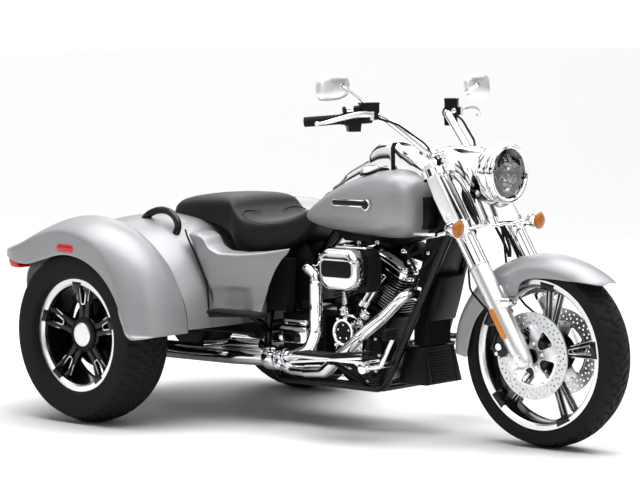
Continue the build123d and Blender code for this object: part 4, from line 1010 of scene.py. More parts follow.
def add_trunk():
    steps = 6
    lines = smooth_run(TRUNK, steps)
    first, last = LID_ROWS[0] * steps, LID_ROWS[1] * steps + 2
    wide = np.linspace(-TRUNK_SIDE, TRUNK_SIDE, 49)
    shape = Shape()
    for part in (lines[:first], lines[last:]):
        shape.grid([[trunk_at(row, y) for y in wide] for row in part], around=False)
    for sign in (-1, 1):
        flank = [sign * (LID_SIDE + (TRUNK_SIDE - LID_SIDE) * k / 10) for k in range(11)]
        shape.grid([[trunk_at(row, y) for y in flank] for row in lines[first - 1:last + 1]], around=False)
    dress(shape, "trunk_shell", "silver", ("trunk_body",), thick=4.0, sharp=60)
    lid = Shape()
    across = np.linspace(LID_SLIT - LID_SIDE, LID_SIDE - LID_SLIT, 33)
    lid.grid([[trunk_at(row, y) for y in across] for row in lines[first:last]], around=False)
    dress(lid, "trunk_lid_shell", "silver", ("trunk_lid",), body="trunk_lid", thick=4.0, sharp=60)
    tub = Shape()
    for x in (-1160, -756):
        tub.box((x, 0, 560), (4, 516, 220))
    for y in (-257, 257):
        tub.box((-958, y, 560), (404, 4, 220))
    tub.box((-958, 0, 449), (404, 516, 5))
    dress(tub, "trunk_lining", "carpet")
    seal, hinge, latch = Shape(), Shape(), Shape()
    rim = [(-752, -252), (-752, 252), (-1168, 252), (-1168, -252), (-752, -252)]
    spread = [(a + (c - a) * k / 8, b + (d - b) * k / 8) for (a, b), (c, d) in zip(rim, rim[1:])
              for k in range(8)]
    seal.tube([(x, y, look_up(SEAL_TOP, x) - 9 - 6 * (abs(y) > 250)) for x, y in spread], 5, count=10,
              ends=False)
    for y in (-34, 34):
        hinge.pin(-26, 26, 7, (HINGE_X, y, HINGE_Z), (0, 1, 0), count=24)
        hinge.box((-728, y, 752), (12, 50, 26))
        latch.pin(-38, 38, 4, (HINGE_X, y, HINGE_Z), (0, 1, 0), count=18)
        latch.box((-748, y, 752), (10, 34, 22))
    dress(seal, "trunk_seal", "rubber", slot="black_plastic")
    dress(hinge, "lid_hinges", "black_satin", slot="black_steel", bevel=1)
    dress(latch, "lid_hinge_arms", "black_satin", slot="black_steel", body="trunk_lid", bevel=1)


# z, x at the trunk seam, x at the front edge of the panel
MID_PANEL = [(408, -347, -152), (440, -333, -143), (470, -332, -132), (510, -338, -119), (562, -366, -99),
             (600, -388, -76), (634, -408, -56), (684, -434, -52)]
# x and height of the top edge, x and distance from the middle, width of the shelf behind
MID_CREST = [(-440, 684), (-400, 682), (-366, 670), (-344, 636), (-306, 616), (-230, 612), (-150, 618),
             (-50, 632)]
MID_FLARE = [(-460, 328), (-340, 326), (-200, 268), (-50, 204)]
MID_SHELF = 98.0
# the seam behind the left panel and the rail under it
MID_SEAM = [(-338, 329, 366), (-332, 329, 421), (-337, 331, 500), (-372, 332, 572), (-440, 329, 680),
            (-455, 322, 700)]
MID_RAIL = [(-360, 322, 396), (-330, 322, 396), (-230, 280, 399), (-166, 250, 402)]
MID_FOOT = MID_PANEL[0][0]
# z and how far the foot tucks in, x and how much of that applies, z and how far the top draws in
MID_TUCK = [(408, -20), (484, -11), (500, 0)]
MID_TUCK_SHARE = [(-220, 1), (-180, 0.25)]
MID_DRAW = [(500, 0), (600, -1), (640, -6)]


def mid_side(x, z):
    """How far the panel stands out from the middle: it tucks in at its foot, below a soft step."""
    step = look_up(MID_TUCK, z) * look_up(MID_TUCK_SHARE, x)
    return look_up(MID_FLARE, x) + step + look_up(MID_DRAW, z)


def add_mid_cover():
    rear = [(z, x) for z, x, _ in MID_PANEL]
    front = [(z, x) for z, _, x in MID_PANEL]
    for side, sign in SIDES:
        shape, rings = Shape(), []
        for k in range(41):
            share = k / 40
            ring = []
            top = -438 + 386 * share
            crest = look_up(MID_CREST, top)
            for j in range(25):
                z = MID_FOOT + (crest - MID_FOOT) * j / 24
                x = look_up(rear, z) * (1 - share) + look_up(front, z) * share
                x += (top - x) * max(0.0, j / 24 - 0.9) * 10
                ring.append((x, sign * mid_side(x, z), z))
            shelf = 8 + (MID_SHELF - 8) * (1 - share ** 1.6)
            for out, rise in ((0.06, 4), (0.2, 7), (0.5, 9), (1.0, 10)):
                ring.append((top, sign * (mid_side(top, crest) - shelf * out), crest + rise))
            rings.append(ring)
        shape.grid(rings, around=False)
        dress(shape, f"mid_cover_{side}", "silver", ("mid_cover",) if sign < 0 else (), thick=3.0,
              subdivide=1, sharp=60)
        trim = Shape().tube(on_side(MID_SEAM, sign), 3.4, 40, count=10)
        dress(trim, f"mid_cover_seam_{side}", "black_plastic")
        rail = Shape().tube(on_side(MID_RAIL, sign), 10, 30, count=16)
        dress(rail, f"mid_cover_rail_{side}", "black_gloss", slot="black_steel")


# x, half width, edge height, crown height, depth of the side below the edge
SEAT_RUN = [
    (-6, 54, 822, 846, 36), (-40, 72, 784, 812, 50), (-80, 100, 752, 778, 74), (-130, 136, 734, 752, 96),
    (-190, 168, 726, 738, 112), (-250, 186, 728, 736, 118), (-305, 189, 742, 744, 126),
    (-340, 187, 770, 770, 146), (-364, 182, 796, 802, 140), (-400, 178, 804, 817, 118),
    (-460, 174, 802, 820, 96), (-530, 170, 798, 818, 86), (-600, 164, 792, 812, 78),
    (-660, 154, 782, 802, 64), (-696, 136, 768, 786, 46), (-708, 112, 758, 770, 30),
]
# radius of each seam and its run on the left
SEAT_SEAMS = [
    (1.6, [(-318, 60, 757), (-330, 120, 763), (-318, 158, 757), (-290, 174, 741), (-240, 180, 728),
           (-190, 172, 722), (-140, 150, 724)]),
    (1.4, [(-372, 177, 796), (-374, 180, 770), (-376, 178, 736), (-380, 170, 712)]),
    (1.2, [(-420, 169, 790), (-480, 163, 776), (-540, 157, 768), (-600, 149, 766)]),
]
GRAB_RAIL = [(-700, 300, 722), (-664, 300, 748), (-610, 302, 764), (-555, 305, 760), (-512, 312, 736),
             (-496, 320, 704), (-508, 332, 664)]


def add_seat():
    shape, rings = Shape(), []
    for x, half, edge, crown, side in smooth_run(SEAT_RUN, 5):
        ring = []
        for y, z in ((0.0, crown), (0.35, crown - (crown - edge) * 0.08),
                     (0.66, edge + (crown - edge) * 0.72), (0.86, edge + (crown - edge) * 0.36),
                     (0.97, edge - 6), (1.0, edge - 20), (0.995, edge - side * 0.55), (0.96, edge - side + 6),
                     (0.90, edge - side), (0.4, edge - side), (0.0, edge - side)):
            ring.append((x, half * y, z))
        rings.append([(x, -y, z) for x, y, z in ring[:0:-1]] + ring[:-1])
    shape.grid(rings, ends=True)
    dress(shape, "seat_cover", "leather", ("seat",), subdivide=1, sharp=75)
    piping = Shape()
    for sign in (-1, 1):
        for radius, run in SEAT_SEAMS:
            piping.tube(curve(on_side(run, sign), 5), radius, 4, count=8)
    dress(piping, "seat_seams", "leather")


def add_grab_handles():
    shape, feet = Shape(), Shape()
    for sign in (-1, 1):
        shape.tube(curve(on_side(GRAB_RAIL, sign), 6), 13.5, 4, count=20)
        feet.turned([(0, 19), (4, 19), (8, 15), (8, 0)], (-676, sign * 300, 734), (-0.3, 0, 0.95), count=24)
    dress(shape, "grab_rails", "black_gloss", ("grab_handles",), slot="black_plastic")
    dress(feet, "grab_rail_feet", "black_satin", slot="black_plastic", bevel=1)


add_trunk()
add_mid_cover()
add_seat()
add_grab_handles()

# ---------------------------------------------------------------- engine

CRANK = Vector((168, 0, 268))
CAM = (178, 0, 352)
# directions in which an outline's x and y lie when it is set upright across the machine, or flat
UPRIGHT = ((1, 0, 0), (0, 0, 1))
FLAT = ((1, 0, 0), (0, 1, 0))


def leaning(degrees):
    """The way up along something that leans forward, and the way ahead square to it."""
    s, c = math.sin(math.radians(degrees)), math.cos(math.radians(degrees))
    return Vector((s, 0, c)), Vector((c, 0, -s))


def add_cylinders():
    fins, heads, bright, covers, bases, bolts = Shape(), Shape(), Shape(), Shape(), Shape(), Shape()
    for degrees in (26.5, -18.5):
        (up, ahead), y_dir = leaning(degrees), Vector((0, 1, 0))
        fins.turned([(198, 58), (302, 58), (302, 0), (198, 0)], CRANK, up, count=48)
        for n in range(9):
            at = CRANK + up * (206 + n * 10.5)
            wide = 150 + (4 if n > 6 else 0)
            fins.prism(slot_outline(wide, wide, 44, 6), at, ahead, y_dir, 3.0, taper=0.985)
            bright.prism(slot_outline(wide + 0.8, wide + 0.8, 44.4, 6), at + up * 1.0, ahead, y_dir, 0.8)
        heads.prism(slot_outline(130, 136, 24), CRANK + up * 300, ahead, y_dir, 52)
        for n in range(4):
            heads.prism(slot_outline(152, 154, 28), CRANK + up * (304 + n * 11), ahead, y_dir, 3.6)
            bright.prism(slot_outline(152.8, 154.8, 28.4), CRANK + up * (305.2 + n * 11), ahead, y_dir, 0.9)
        bases.prism(slot_outline(176, 188, 30), CRANK + up * 346, ahead, y_dir, 25, taper=0.995)
        covers.prism(slot_outline(172, 184, 32), CRANK + up * 372, ahead, y_dir, 12, taper=0.96)
        covers.prism(slot_outline(162, 172, 34), CRANK + up * 384, ahead, y_dir, 12, taper=0.78)
        for i in (-1, 1):
            for j in (-1, 0, 1):
                bolts.bolt(CRANK + up * 383 + ahead * i * 66 + y_dir * j * 72, up, 5.5, 6)
    dress(fins, "cylinder_fins", "black_satin", ("cylinders",), bevel=0.5, segments=1)
    dress(heads, "cylinder_heads", "black_satin", bevel=0.6, segments=1)
    dress(bright, "fin_edges", "machined")
    dress(bases, "rocker_bases", "chrome", ("rocker_covers",), bevel=3, segments=3)
    dress(covers, "rocker_tops", "chrome", bevel=5, segments=4)
    dress(bolts, "rocker_bolts", "chrome", bevel=0.5)


def add_crankcase():
    case, bolts = Shape(), Shape()
    case.turned([(-86, 0), (-86, 104), (-76, 114), (-20, 117), (-8, 121), (8, 121), (20, 117), (76, 114),
                 (86, 104), (86, 0)], CRANK, count=72)
    for degrees in (29.0, -16.0):
        up, ahead = leaning(degrees)
        case.prism(slot_outline(134, 160, 26), CRANK + up * 60, ahead, (0, 1, 0), 122)
        case.prism(slot_outline(150, 166, 26), CRANK + up * 182, ahead, (0, 1, 0), 14)
    for k in range(11):
        a = math.radians(-160 + 32 * k)
        for sign in (-1, 1):
            bolts.bolt(CRANK + Vector((108 * math.cos(a), sign * 82, 108 * math.sin(a))), (0, sign, 0), 6, 7)
    dress(case, "crankcase_shell", "black_satin", ("crankcase",), bevel=3, segments=2)
    dress(bolts, "crankcase_bolts", "chrome", bevel=0.5)


def add_cam_cover():
    cover, ring, face, bolts, tappets = Shape(), Shape(), Shape(), Shape(), Shape()
    outline = []
    for a in round_turn(40):
        x, z = math.cos(a), math.sin(a)
        outline.append((178 + x * 64, 352 + z * 66) if z > -0.05 else (168 + x * 68, 268 + z * 60))
    cover.plate(outline, -88.5, -132, taper=0.94)
    cover.turned([(-132, 0), (-132, 56), (-150, 52), (-160, 48), (-160, 0)], CAM, count=64)
    ring.turned([(-150, 51), (-166, 50), (-170, 47), (-170, 40), (-166, 37), (-160, 36), (-150, 36)], CAM,
                count=72, closed=True)
    face.turned([(-158, 0), (-158, 37), (-164, 37), (-166, 34), (-165, 14), (-167, 11), (-167, 0)], CAM,
                count=48)
    for k in range(5):
        a = math.radians(90 + 72 * k)
        bolts.bolt((178 + 26 * math.cos(a), -165, 352 + 26 * math.sin(a)), (0, -1, 0), 3.4, 2.5)
    for x, z in ((122, 392), (238, 380), (112, 300), (228, 292), (150, 224), (196, 222)):
        bolts.bolt((x, -130, z), (0, -1, 0), 5.5, 7)
    for x, way in ((222, (0.62, 0.05, 0.78)), (134, (-0.24, 0.05, 0.97))):
        direction = Vector(way).normalized()
        start = Vector((x, -102, 404))
        tappets.pin(0, 20, 21, start, direction, count=32)
        tappets.turned([(20, 0), (20, 25), (25, 25), (25, 16), (32, 15), (32, 0)], start, direction, count=32)
    dress(cover, "cam_cover_shell", "chrome", ("cam_cover",), bevel=3.5, segments=3)
    dress(ring, "cam_cover_ring", "chrome")
    dress(face, "cam_cover_face", "black_satin")
    dress(bolts, "cam_cover_bolts", "chrome")
    dress(tappets, "tappet_blocks", "chrome", bevel=1.5)
    tubes = Shape()
    for start, stop in (((230, -104, 440), (318, -94, 560)), ((214, -112, 446), (302, -104, 566)),
                        ((130, -104, 440), (106, -94, 584)), ((142, -112, 446), (120, -104, 590))):
        a, b = Vector(start), Vector(stop)
        tubes.tube([a, b], 6.5, count=20)
        tubes.tube([a, a + (b - a) * 0.16], 10, count=20)
        tubes.tube([a + (b - a) * 0.48, a + (b - a) * 0.60], 8.5, count=20)
        tubes.tube([a + (b - a) * 0.88, b], 9.5, count=20)
    dress(tubes, "pushrod_covers", "chrome", ("pushrod_tubes",), bevel=0.8, segments=1)


def add_air_cleaner():
    body, mesh, cover, face = Shape(), Shape(), Shape(), Shape()
    body.prism(slot_outline(196, 156, 38, 6), (250, -150, 580), *UPRIGHT, 57, taper=0.97)
    body.prism(slot_outline(96, 80, 24, 5), (220, -100, 576), *UPRIGHT, 51)
    for n in range(18):
        body.plate([(162 + n * 9.4, 512), (165.5 + n * 9.4, 512), (165.5 + n * 9.4, 516),
                    (162 + n * 9.4, 516)], -200, -152)
    mesh.prism(slot_outline(60, 120, 14, 4), (304, -206.5, 584), *UPRIGHT, 3, taper=0.97)
    outline = slot_outline(176, 148, 50, 8)
    rings = []
    for share, out in ((0.97, 222), (1.0, 228), (1.0, 246), (0.985, 260), (0.95, 269), (0.89, 275),
                       (0.74, 278), (0.4, 279)):
        rings.append([(246 + x * share, -out, 588 + z * share) for x, z in outline])
    cover.grid(rings, ends=True)
    body.prism(slot_outline(168, 134, 46, 6), (248, -206, 588), *UPRIGHT, 18)
    crown = Shape()
    crown.prism(slot_outline(150, 54, 10, 4), (246, -178, 658), *FLAT, 6, taper=0.94)
    dress(crown, "air_filter_crown", "chrome", bevel=2)
    face.prism(slot_outline(146, 60, 18, 5), (250, -276.5, 590), *UPRIGHT, 5, taper=0.97)
    rim = Shape()
    rim.prism(slot_outline(150, 64, 20, 5), (250, -276.2, 590), *UPRIGHT, 3.4, taper=0.99)
    dress(rim, "air_cleaner_face_rim", "machined")
    dress(body, "air_filter_body", "black_plastic", ("air_filter",), bevel=4, segments=3)
    dress(mesh, "air_filter_screen", "black_satin", slot="black_plastic", bevel=1)
    dress(cover, "air_cleaner_shell", "chrome", ("air_cleaner",), sharp=50)
    dress(face, "air_cleaner_face", "black_satin", bevel=2)


def add_black_covers():
    """Plain black parts round the neck, under the tank and between the down tubes, and the wires on them."""
    shape, wires = Shape(), Shape()
    shape.plate([(440, 724), (504, 727), (516, 782), (488, 836), (452, 866), (440, 868)], -82, 82)
    shape.plate([(440, 700), (560, 738), (542, 800), (506, 862), (468, 926), (436, 930)], -34, 34)
    shape.plate([(-226, 440), (-66, 440), (-44, 600), (-84, 652), (-246, 640)], -74, 74)
    shape.plate([(440, 404), (508, 404), (536, 486), (556, 560), (500, 580), (440, 486)], -62, 62)
    shape.plate([(6, 736), (44, 700), (92, 668), (330, 662), (430, 690), (480, 735), (440, 752), (40, 752)],
                -58, 58)
    shape.plate([(584, 700), (490, 484), (444, 474), (432, 520), (452, 600), (474, 690), (560, 708)], -56, 56)
    shape.plate([(60, 600), (180, 664), (330, 664), (392, 600), (330, 450), (150, 450)], 42, 104)
    for k in range(6):
        shape.box((472 + k * 18, -66, 500 + k * 34), (26, 14, 18), x_dir=(0.41, 0, 0.91))
    for run in ([(566, -44, 716), (540, -84, 650), (486, -92, 590), (436, -84, 520), (392, -98, 470)],
                [(552, -60, 700), (508, -100, 664), (452, -104, 640), (400, -84, 664)],
                [(560, -30, 690), (520, -78, 604), (486, -70, 540), (470, -84, 470), (440, -100, 420)],
                [(420, -60, 672), (440, -112, 640), (470, -104, 580), (450, -90, 530)],
                [(330, -84, 668), (290, -108, 672), (240, -112, 664), (180, -96, 668)]):
        wires.tube(curve(run, 5), 5.5, 6, count=10)
    dress(shape, "neck_and_spine_covers", "black_satin", slot="black_plastic", bevel=3)
    dress(wires, "engine_wires", "rubber")
    bits = Shape()
    for x, y, z, r in ((404, -92, 648, 9), (436, -98, 612, 8), (470, -100, 578, 10), (428, -88, 548, 8),
                       (512, -84, 646, 7), (296, -108, 674, 8), (210, -108, 668, 8)):
        bits.turned([(-12, 0), (-12, r), (8, r), (10, r * 0.7), (10, 0)], (x, y, z), (0.3, -1, 0.1), count=20)
    dress(bits, "engine_fittings", "chrome", bevel=0.8)


def add_gearbox():
    case, cover, dark = Shape(), Shape(), Shape()
    case.box((-50, -39, 300), (212, 174, 196))
    for n in range(5):
        case.box((-50, -39, 230 + n * 34), (218, 178, 8))
    cover.prism(slot_outline(150, 64, 20), (-86, -128, 322), *UPRIGHT, 22, taper=0.92)
    cover.prism(slot_outline(120, 22, 8), (-80, -128, 368), *UPRIGHT, 14, taper=0.92)
    dark.prism(slot_outline(92, 34, 12), (-90, -149, 312), *UPRIGHT, 4, taper=0.94)
    dress(case, "gearbox_case", "black_satin", ("gearbox",), bevel=5, segments=3)
    dress(cover, "gearbox_cover", "chrome", bevel=3, segments=3)
    dress(dark, "gearbox_panel", "black_gloss", bevel=1)


def add_primary():
    shape, bolts, plugs = Shape(), Shape(), Shape()
    outline = []
    for cx, cz, r, low, high in ((168, 268, 82, -86, 86), (-84, 290, 76, 94, 266)):
        for k in range(15):
            a = math.radians(low + (high - low) * k / 14)
            outline.append((cx + r * math.cos(a), cz + r * math.sin(a)))
    shape.plate(outline, 90, 160)
    shape.plate([(x * 0.9 + 4, z * 0.9 + 28) for x, z in outline], 150, 178, taper=0.86)
    for k in range(0, 30, 3):
        x, z = outline[k]
        bolts.bolt((x * 0.95 + 2.2, 158, z * 0.95 + 14), (0, 1, 0), 5.5, 8)
    plugs.turned([(170, 0), (170, 52), (182, 50), (185, 44), (185, 0)], (-84, 0, 290), count=56)
    dress(shape, "primary_shell", "chrome", ("primary_cover",), bevel=7, segments=4)
    dress(bolts, "primary_bolts", "chrome")
    dress(plugs, "primary_derby", "chrome", bevel=2)


add_cylinders()
add_crankcase()
add_cam_cover()
add_air_cleaner()
add_black_covers()
add_gearbox()
add_primary()

# ---------------------------------------------------------------- exhaust, boards and small chassis pieces


def add_exhaust():
    guard, clamps, tips = Shape(), Shape(), Shape()
    guard.tube([(50, -171, 520), (50, -171, 344), (22, -173, 279), (-56, -177, 252)],
               [21.5, 23.5, 24, 25, 26], [50, 60], count=24, flat=0.8)
    guard.tube([(352, -160, 412), (300, -209, 352), (200, -211, 270), (118, -198, 214), (20, -188, 204)],
               [22, 24, 26, 27, 26], [45, 60, 60], count=24, flat=0.86)
    for place, way, r in (((50, -165, 530), (0, 0, 1), 24), ((-92, -176, 246), (-1, 0, -0.05), 31),
                          ((440, -62, 496), (0.4, -0.5, 0.1), 25), ((14, -44, 562), (-0.6, -0.5, 0), 25)):
        clamps.pin(-8, 8, r, place, way, count=40)
    guard.turned([(0, 0), (0, 40), (10, 45), (50, 45), (62, 36), (62, 0)], (-118, -177, 238), (-1, 0, 0),
                 count=56)
    for sign in (-1, 1):
        tips.turned([(0, 33.2), (0, 34.5), (78, 36), (80, 33), (80, 31), (6, 30)], (-1146, sign * 264, 239.5),
                    (-1, sign * 0.068, 0.004), count=56, closed=True)
    dress(guard, "exhaust_guards", "chrome")
    dress(clamps, "exhaust_clamps", "chrome", bevel=1.5)
    dress(tips, "exhaust_tips", "chrome")
    upper = Shape().tube([(-200, -196, 284), (-330, -214, 284), (-450, -226, 270)], 18.5, 200, count=24)
    dress(upper, "exhaust_upper_tube", "chrome")


def add_boards():
    plate, pads, edge, pedal, pad = Shape(), Shape(), Shape(), Shape(), Shape()
    for sign in (-1, 1):
        slope = (340, 0, 38)
        middle = Vector((300, sign * 347, 288))
        plate.box(middle, (340, 92, 10), x_dir=slope)
        edge.tube([(132, sign * 394, 266), (468, sign * 394, 304)], 4.5, count=12)
        pads.box(middle + Vector((-4, 0, 9)), (322, 82, 7), x_dir=slope)
        for x in range(-148, 141, 24):
            pads.box(middle + Vector((x, 0, 14.0 + x * 0.112)), (12, 74, 4), x_dir=slope)
    dress(plate, "rider_board_plates", "chrome", ("rider_boards",), bevel=3, segments=3)
    dress(edge, "rider_board_edges", "chrome")
    dress(pads, "rider_board_pads", "rubber", bevel=1.5)
    struts = Shape()
    for sign in (-1, 1):
        for foot in (252, 322):
            struts.tube([(foot, sign * 138, 172), (foot + 12, sign * 330, 279)], 9, count=16)
            struts.pin(-8, 8, 15, (foot + 12, sign * 326, 274), (1, 0, 0), count=24)
    dress(struts, "rider_board_struts", "black_satin", slot="black_steel", bevel=1)
    rear_pad, rear_rib = Shape(), Shape()
    for sign in (-1, 1):
        outline = slot_outline(266, 82, 26, 5)
        rear_pad.grid([[(-154 + x * s, sign * 362 + y * s, h) for x, y in outline]
                       for h, s in ((408.7, 0.96), (412, 1.0), (419, 1.0), (421, 0.985))], ends=True)
        rear_rib.grid([[(-154 + x * s, sign * 362 + y * s, h) for x, y in slot_outline(244, 64, 20, 5)]
                       for h, s in ((420, 1.0), (423.3, 1.0))], ends=True)
        rear_pad.tube([(-232, sign * 136, 377), (-200, sign * 330, 406)], 8, count=16)
    dress(rear_pad, "passenger_board_plates", "black_satin", ("passenger_boards",), bevel=1)
    dress(rear_rib, "passenger_board_pads", "rubber", bevel=1)
    for sign in (-1, 1):
        pedal.tube([(386, sign * 142, 252), (386, sign * 292, 252)], 10, count=20)
        pedal.tube([(386, sign * 288, 252), (460, sign * 288, 262), (528, sign * 300, 366)], [9, 8, 7], 30,
                   count=16)
        pedal.pin(-13, 13, 18, (386, sign * 290, 252), count=32)
        if sign < 0:
            pad.grid([[(523 + x * 0.2 + d, sign * 312 + y, 384 + x) for x, y in slot_outline(40, 70, 12, 4)]
                      for d in (0, 12)], ends=True)
            for n in range(4):
                pad.box((537.5 + (n - 1.5) * 2, sign * 312, 370 + n * 9.4), (4, 58, 4))
        else:
            pad.tube([(528, 276, 384), (528, 346, 384)], 11, count=20)
    dress(pedal, "pedal_levers", "chrome", ("foot_controls",), bevel=1)
    dress(pad, "pedal_pads", "rubber", bevel=1)


# z, x of the rear and of the front, half width; z and (x, y) of the corners of the cheek on the left
COOLER = [(178.5, 373, 506, 96), (250, 385, 492, 89), (311, 396, 479, 83)]
COOLER_CHEEK = [(180, [(504, 64), (509, 68), (509, 94), (504, 96.5)]),
                (310, [(477.5, 62), (482.5, 66), (482.5, 81), (478, 83.5)])]


def add_cooler():
    body, slats, cheeks = Shape(), Shape(), Shape()
    body.grid([[(rear, -half, z), (front, -half, z), (front, half, z), (rear, half, z)]
               for z, rear, front, half in COOLER], ends=True)
    for n in range(12):
        z = 190 + n * 9.6
        slats.box((506.5 - (z - 178) * 0.2, 0, z), (9, 124, 3.0), z_dir=(0.5, 0, 1))
    for sign in (-1, 1):
        cheeks.grid([[(x, sign * y, z) for x, y in row] for z, row in COOLER_CHEEK], ends=True)
    dress(body, "cooler_shroud", "black_satin", ("oil_cooler",), slot="black_plastic", bevel=6, segments=3)
    dress(slats, "cooler_slats", "black_plastic")
    dress(cheeks, "cooler_cheeks", "black_satin", slot="black_plastic", bevel=2.5)
    ribs = Shape()
    ribs.box((446, 0, 369), (40, 138, 110))
    for n in range(17):
        ribs.box((474, -64 + n * 8, 369), (15, 2.6, 108))
    dress(ribs, "regulator_fins", "black_satin", ("regulator",), bevel=0.8, segments=1)


def add_horn():
    shell = Shape()
    shell.turned([(108, 0), (108, 28), (140, 44), (152, 52), (182, 52), (196, 46), (199, 34), (196, 16),
                  (196, 0)], (204, 0, 560), count=64)
    shell.grid([[(x, y, z) for x, z in ((112, 550), (300, 550), (300, 570), (112, 570))] for y in (77, 91)],
               ends=True)
    dress(shell, "horn_cover", "chrome", ("horn",), bevel=1)


add_exhaust()
add_boards()
add_cooler()
add_horn()

# ---------------------------------------------------------------- front end

FORK_Y = 137
FORK_LEAN = math.tan(math.radians(31.76))
FORK_ALONG = Vector((-FORK_LEAN, 0, 1)).normalized()
FORK_AHEAD = Vector((FORK_ALONG.z, 0, -FORK_ALONG.x))
# heights of the axle and of the top of the lower legs
FORK_FOOT, FORK_JOINT = 319.3, 616


def fork_at(z, y):
    """The point of a fork leg's centre line at height z."""
    return Vector((FRONT_HUB.x - (z - FRONT_HUB.z) * FORK_LEAN, y, z))


def add_forks():
    lower, upper, covers, bolts, stubs = Shape(), Shape(), Shape(), Shape(), Shape()
    for sign in (-1, 1):
        y = sign * FORK_Y
        foot, can = fork_at(FORK_FOOT, y), fork_at(FORK_JOINT, y)
        length = (can - foot).length
        lower.turned([(-38, 0), (-38, 17), (-31, 26), (-8, 31), (40, 34), (length - 6, 35.5), (length, 35),
                      (length, 0)], foot, FORK_ALONG, count=56)
        lower.box(foot + FORK_AHEAD * -14 + FORK_ALONG * 4, (58, 50, 60), x_dir=FORK_AHEAD, z_dir=FORK_ALONG,
                  taper=0.82)
        upper.turned([(1.0, 31), (1.0, 37.5), (3.4, 37.5), (5, 35.6), (172, 35.6), (172, 0)], can, FORK_ALONG)
        covers.plate([(556, 948), (590, 971), (602, 955), (659, 866), (716, 770), (700, 752), (672, 748),
                      (650, 772), (607, 842)], sign * 153, sign * 168)
        for x, z in ((589, 925), (673, 785)):
            bolts.turned([(0, 11), (3.5, 11), (5.5, 9)], (x, sign * 167.5, z), (0, sign, 0), count=28)
            bolts.bolt((x, sign * 171, z), (0, sign, 0), 7.5, 5)
        bolts.bolt(foot + Vector((0, sign * 30, 0)), (0, sign, 0), 14, 6)
        stub = Vector((888, sign * 154, 503))
        stubs.grid([[stub + Vector((12 + u, sign * w, v + 0.08 * u))
                     for u, v in slot_outline(62, 30 * s, 13 * s, 5)]
                    for w, s in ((-36, 1.0), (6, 1.0), (10, 0.9))], ends=True)
        bolts.bolt(stub + Vector((-2, sign * 9, 0)), (0, sign, 0), 9, 5)
    dress(lower, "fork_lowers", "satin_chrome", ("fork_sliders",), body="steering", bevel=1.5)
    dress(upper, "fork_cans", "chrome", ("fork_tubes",), body="steering")
    dress(covers, "fork_side_covers", "satin_chrome", body="steering", bevel=4, segments=4)
    dress(stubs, "fender_mounts", "chrome", body="steering", bevel=3, segments=3)
    dress(bolts, "fork_bolts", "chrome", body="steering")


LAMP_AT = Vector((803, 0, 929))
FORWARD = (1, 0, 0)


def add_headlamp():
    shell, bowl, lamps, lens, bead = Shape(), Shape(), Shape(), Shape(), Shape()
    shell.turned([(-4, 90), (2, 91), (6, 96), (6, 100), (2, 103.6), (-10, 104), (-20, 103), (-24, 99),
                  (-27, 99), (-30, 101), (-60, 96), (-92, 80), (-116, 52), (-125, 20), (-126, 0)], LAMP_AT,
                 FORWARD, count=96)
    bead.turned([(-3, 86), (3.4, 87), (6.4, 91), (5, 94.5), (0, 94)], LAMP_AT, FORWARD, count=96, closed=True)
    bowl.turned([(-6, 89), (-22, 86), (-34, 72), (-38, 40), (-39, 0)], LAMP_AT, FORWARD, count=72)
    lens.turned([(0.6, 0), (0, 50), (-2.5, 80), (-5, 89), (-7, 89), (-4.5, 80), (-2, 50), (-1.4, 0)], LAMP_AT,
                FORWARD, count=72)
    for y, z, r in ((6, 36, 30), (2, -34, 33)):
        place = LAMP_AT + Vector((-37, y, z))
        lamps.turned([(0, r * 1.18), (14, r * 1.15), (22, r), (20, r * 0.9), (8, r * 0.66), (5, 0)], place,
                     FORWARD, count=44)
        lamps.turned([(6, r * 0.52), (20, r * 0.46), (26, r * 0.28), (28, 0)], place, FORWARD, count=32)
    for y, z, r in ((-52, 26, 17), (54, 24, 17), (-54, -24, 15), (54, -24, 15)):
        place = LAMP_AT + Vector((-34, y, z))
        lamps.turned([(0, r * 1.15), (13, r * 1.1), (13, r * 0.85), (2, r * 0.4), (1, 0)], place, FORWARD,
                     count=28)
    dress(shell, "headlamp_shell", "chrome", ("headlamp",), body="steering", sharp=45)
    dress(bead, "headlamp_bead", "chrome", body="steering")
    dress(bowl, "headlamp_bowl", "black_gloss", body="steering")
    dress(lamps, "headlamp_reflectors", "smoked", body="steering")
    dress(lens, "headlamp_glass", "clear_lens", ("headlamp_lens",), body="steering")


# x, height and half width of the crowned top
NACELLE_SPINE = [(530, 1012, 66), (560, 1018, 92), (600, 1020, 105), (640, 1008, 109), (672, 992, 109),
                 (700, 968, 106), (716, 936, 100)]
# the step along the left side
NACELLE_STEP = [(609, 110.5, 931), (657, 110.5, 930), (676, 110, 924), (700, 108, 890), (724, 106, 848),
                (768, 104, 762)]
# the rear and front edges of the sides: share of the way down, x, z
NACELLE_REAR = [(0, 560, 962), (0.33, 600, 900), (0.66, 648, 829), (1, 706, 746)]
NACELLE_FRONT = [(0, 668, 930), (0.33, 688, 906), (0.66, 724, 846), (1, 770, 758)]


def edge_point(edge, t):
    """The point of an edge of the nacelle at a share of the way down."""
    return Vector((look_up([(share, x) for share, x, _ in edge], t), 0,
                   look_up([(share, z) for share, _, z in edge], t)))


